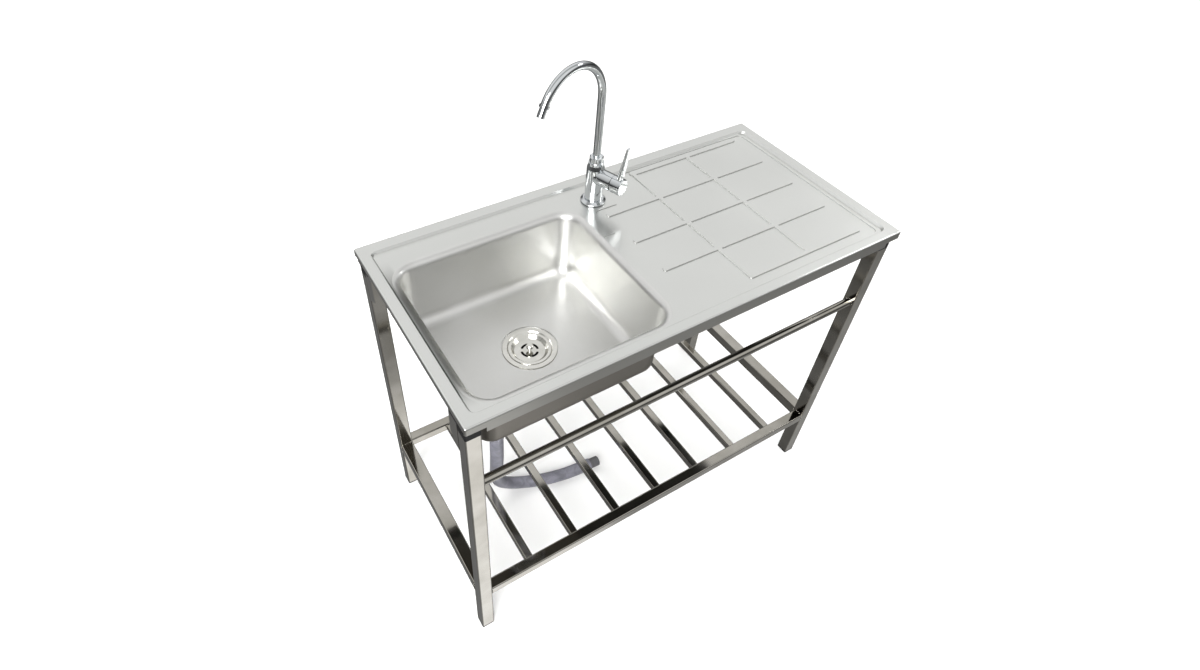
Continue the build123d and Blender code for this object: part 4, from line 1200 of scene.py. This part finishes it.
# ---- Studio ----
@dataclass
class Softbox:
    """One rectangular lamp that faces a point.

    Attributes:
        name: The lamp's name.
        place: Where it hangs.
        size: Its width and height.
        power: Its power in watts.
        target: The point that it faces.
        in_gloss: Whether it shows in glossy surfaces.
    """

    name: str
    place: Place
    size: tuple[float, float]
    power: float
    target: Place = (0.0, 0.0, 0.7)
    in_gloss: bool = True

    def build(self) -> None:
        """Hangs the lamp."""
        lamp = bpy.data.lights.new(self.name, "AREA")
        lamp.shape = "RECTANGLE"
        lamp.size, lamp.size_y = self.size
        lamp.energy = self.power
        holder = new_piece(self.name, lamp)
        holder.location = self.place
        holder.visible_glossy = self.in_gloss
        aim = Vector(self.target) - Vector(self.place)
        holder.rotation_euler = aim.to_track_quat("-Z", "Y").to_euler()


@dataclass
class Camera:
    """The camera at the photograph's viewing angle, from a fit to the unit's corners.

    Attributes:
        place: Where it stands.
        azimuth: Its heading from +Y towards +X.
        drop: Its angle below the horizon.
        roll: Its roll.
        focal_px: Its focal length in pixels of a 1200 x 670 image.
        centre_px: Its principal point in the same pixels.
        image: The width and height of that image.
        film_mm: The width of its film in millimetres.
        near: How close to it the nearest thing in view may be.
    """

    place: Place = (-0.731857, -0.838075, 1.695463)
    azimuth: float = 0.56848
    drop: float = 0.77859
    roll: float = 0.04107
    focal_px: float = 705.107
    centre_px: tuple[float, float] = (550.79, 303.90)
    image: tuple[int, int] = (1200, 670)
    film_mm: float = 36.0
    near: float = 0.01

    def build(self) -> None:
        """Sets up the scene's camera."""
        lens = bpy.data.cameras.new("camera")
        lens.sensor_width = self.film_mm
        lens.lens = self.focal_px * lens.sensor_width / self.image[0]
        lens.shift_x = (self.image[0] / 2 - self.centre_px[0]) / self.image[0]
        lens.shift_y = (self.centre_px[1] - self.image[1] / 2) / self.image[0]
        lens.clip_start = self.near
        holder = new_piece("camera", lens)
        ahead = Vector((
            math.sin(self.azimuth) * math.cos(self.drop),
            math.cos(self.azimuth) * math.cos(self.drop),
            -math.sin(self.drop),
        ))
        right = ahead.cross(Vector((0, 0, 1))).normalized()
        up = right.cross(ahead)
        turned_right = math.cos(self.roll) * right + math.sin(self.roll) * up
        turned_up = math.cos(self.roll) * up - math.sin(self.roll) * right
        axes = Matrix((turned_right, turned_up, -ahead)).transposed()
        holder.matrix_world = Matrix.Translation(self.place) @ axes.to_4x4()
        bpy.context.scene.camera = holder


@dataclass
class Sky:
    """The light all round, as polished metal sees it.

    Above the horizon there are bright walls behind and in front and a dimmer ceiling between them.
    A dark band runs round the horizon. Below it, for gloss only, lies a dim room floor that
    brightens towards the front, with one bright patch there.

    Attributes:
        wall: The radiance of the walls.
        ceiling: The radiance of the ceiling.
        wall_span: How far to the front or back the ceiling ends and the walls begin.
        horizon: The share of light left at the horizon.
        horizon_span: The heights at which the dark band starts to end and has ended.
        ground: The least and greatest radiance of the room floor.
        ground_span: How near the patch's direction the floor starts and ends to brighten.
        patch: The radiance that the bright patch adds.
        patch_way: The direction of the bright patch.
        patch_span: How near that direction the patch begins and is full.
        far: The share of light left on the room floor at the horizon.
        far_span: The heights between which the floor falls to that share.
    """

    wall: float = 1.06
    ceiling: float = 0.50
    wall_span: Span = (0.04, 0.40)
    horizon: float = 0.08
    horizon_span: Span = (0.05, 0.52)
    ground: Span = (0.20, 0.50)
    ground_span: Span = (0.60, 0.95)
    patch: float = 1.15
    patch_way: Place = (0.15, -0.45, -0.88)
    patch_span: Span = (0.972, 0.992)
    far: float = 0.40
    far_span: Span = (-0.20, -0.02)

    def build(self) -> None:
        """Builds the world."""
        world = bpy.data.worlds.new("studio_sky")
        bpy.context.scene.world = world
        world.use_nodes = True
        tree = world.node_tree
        tree.nodes.clear()
        way = add(tree, "ShaderNodeTexCoord").outputs["Generated"]
        parts = add(tree, "ShaderNodeSeparateXYZ", {0: way})
        height = parts.outputs["Z"]
        deep = add(tree, "ShaderNodeMath", {0: parts.outputs["Y"]}, operation="ABSOLUTE").outputs[0]
        both = {0: way, 1: self.patch_way}
        near = add(tree, "ShaderNodeVectorMath", both, operation="DOT_PRODUCT").outputs["Value"]
        walls, rise, ground, patch, low = (
            add(tree, "ShaderNodeMapRange", mapped(value, span, to), **SMOOTH).outputs[0]
            for value, span, to in (
                (deep, self.wall_span, (self.ceiling, self.wall)),
                (height, self.horizon_span, (self.horizon, 1.0)),
                (near, self.ground_span, self.ground),
                (near, self.patch_span, (0.0, self.patch)),
                (height, self.far_span, (1.0, self.far)),
            )
        )
        above = add(tree, "ShaderNodeMath", {0: walls, 1: rise}, operation="MULTIPLY")
        floor = add(tree, "ShaderNodeMath", {0: ground, 1: patch}, operation="ADD")
        below = add(tree, "ShaderNodeMath", {0: floor.outputs[0], 1: low}, operation="MULTIPLY")
        under = add(tree, "ShaderNodeMath", {0: height, 1: 0.0}, operation="LESS_THAN")
        level = add(tree, "ShaderNodeMix", {
            "Factor": under.outputs[0], 2: above.outputs[0], 3: below.outputs[0],
        }, data_type="FLOAT")
        glow = add(tree, "ShaderNodeBackground", {
            "Color": linear("#FFFFFF"), "Strength": level.outputs[0],
        })
        add(tree, "ShaderNodeOutputWorld", {"Surface": glow.outputs[0]})


@dataclass
class Studio:
    """A pale floor and backdrop, soft light from above and the sides, and the camera."""

    floor_size: float = 14.0
    floor_colour: str = "#FAFAF9"
    floor_roughness: float = 0.65
    backdrop_radius: float = 10.0
    backdrop_colour: str = "#FFFFFF"
    backdrop_rings: int = 24
    lamps: Sequence[Softbox] = (
        Softbox("left_key", place=(-2.2, -1.8, 2.5), size=(1.8, 1.8), power=130),
        Softbox("right_glint", place=(2.3, -0.2, 2.6), size=(0.5, 0.5), power=8),
        Softbox("floor_fill", place=(0.0, 0.0, 7.0), size=(10.0, 10.0), power=420, in_gloss=False),
    )

    def build(self) -> None:
        """Builds the studio."""
        self.build_floor()
        self.build_backdrop()
        Sky().build()
        for lamp in self.lamps:
            lamp.build()
        Camera().build()
        bpy.context.scene.view_settings.view_transform = "Standard"

    def build_floor(self) -> None:
        """Lays the floor, which only diffuse light and the camera see."""
        half = self.floor_size / 2
        mesh = bpy.data.meshes.new("floor")
        corners = [(-half, -half, 0), (half, -half, 0), (half, half, 0), (-half, half, 0)]
        mesh.from_pydata(corners, [], [(0, 1, 2, 3)])
        floor = new_piece("floor", mesh)
        floor.visible_glossy = False
        self.cover(floor, "painted_studio_floor", "ShaderNodeBsdfPrincipled", {
            "Base Color": linear(self.floor_colour), "Roughness": self.floor_roughness,
        })

    def build_backdrop(self) -> None:
        """Hangs the pale backdrop all round, which only the camera sees."""
        shape = bmesh.new()
        rings = self.backdrop_rings
        bmesh.ops.create_uvsphere(
            shape, u_segments=2 * rings, v_segments=rings, radius=self.backdrop_radius
        )
        mesh = bpy.data.meshes.new("backdrop")
        shape.to_mesh(mesh)
        shape.free()
        backdrop = new_piece("backdrop", mesh)
        backdrop.visible_diffuse = backdrop.visible_glossy = False
        backdrop.visible_transmission = backdrop.visible_shadow = False
        self.cover(backdrop, "lit_paper_backdrop", "ShaderNodeEmission", {
            "Color": linear(self.backdrop_colour), "Strength": 1.0,
        })

    @staticmethod
    def cover(piece: bpy.types.Object, name: str, kind: str, inputs: Inputs) -> None:
        """Gives a piece of the studio a plain material.

        Args:
            piece: The piece.
            name: The material's name.
            kind: The type name of its one shader.
            inputs: The shader's inputs.
        """
        material = new_material(name)
        shader = add(material.node_tree, kind, inputs)
        add(material.node_tree, "ShaderNodeOutputMaterial", {"Surface": shader.outputs[0]})
        piece.data.materials.append(material)


def main() -> None:
    """Builds the classes in order."""
    logging.basicConfig(level=logging.INFO, format="%(name)s: %(message)s")
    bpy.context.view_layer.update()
    finishes = Finishes()
    finishes.dress_nodes()
    WasteHose(finishes).build()
    WeldSeams(finishes).build()
    Threads(finishes).build()
    AeratorScreen(finishes).build()
    PanScrews(finishes).build()
    Studio().build()


if __name__ == "__main__":
    main()
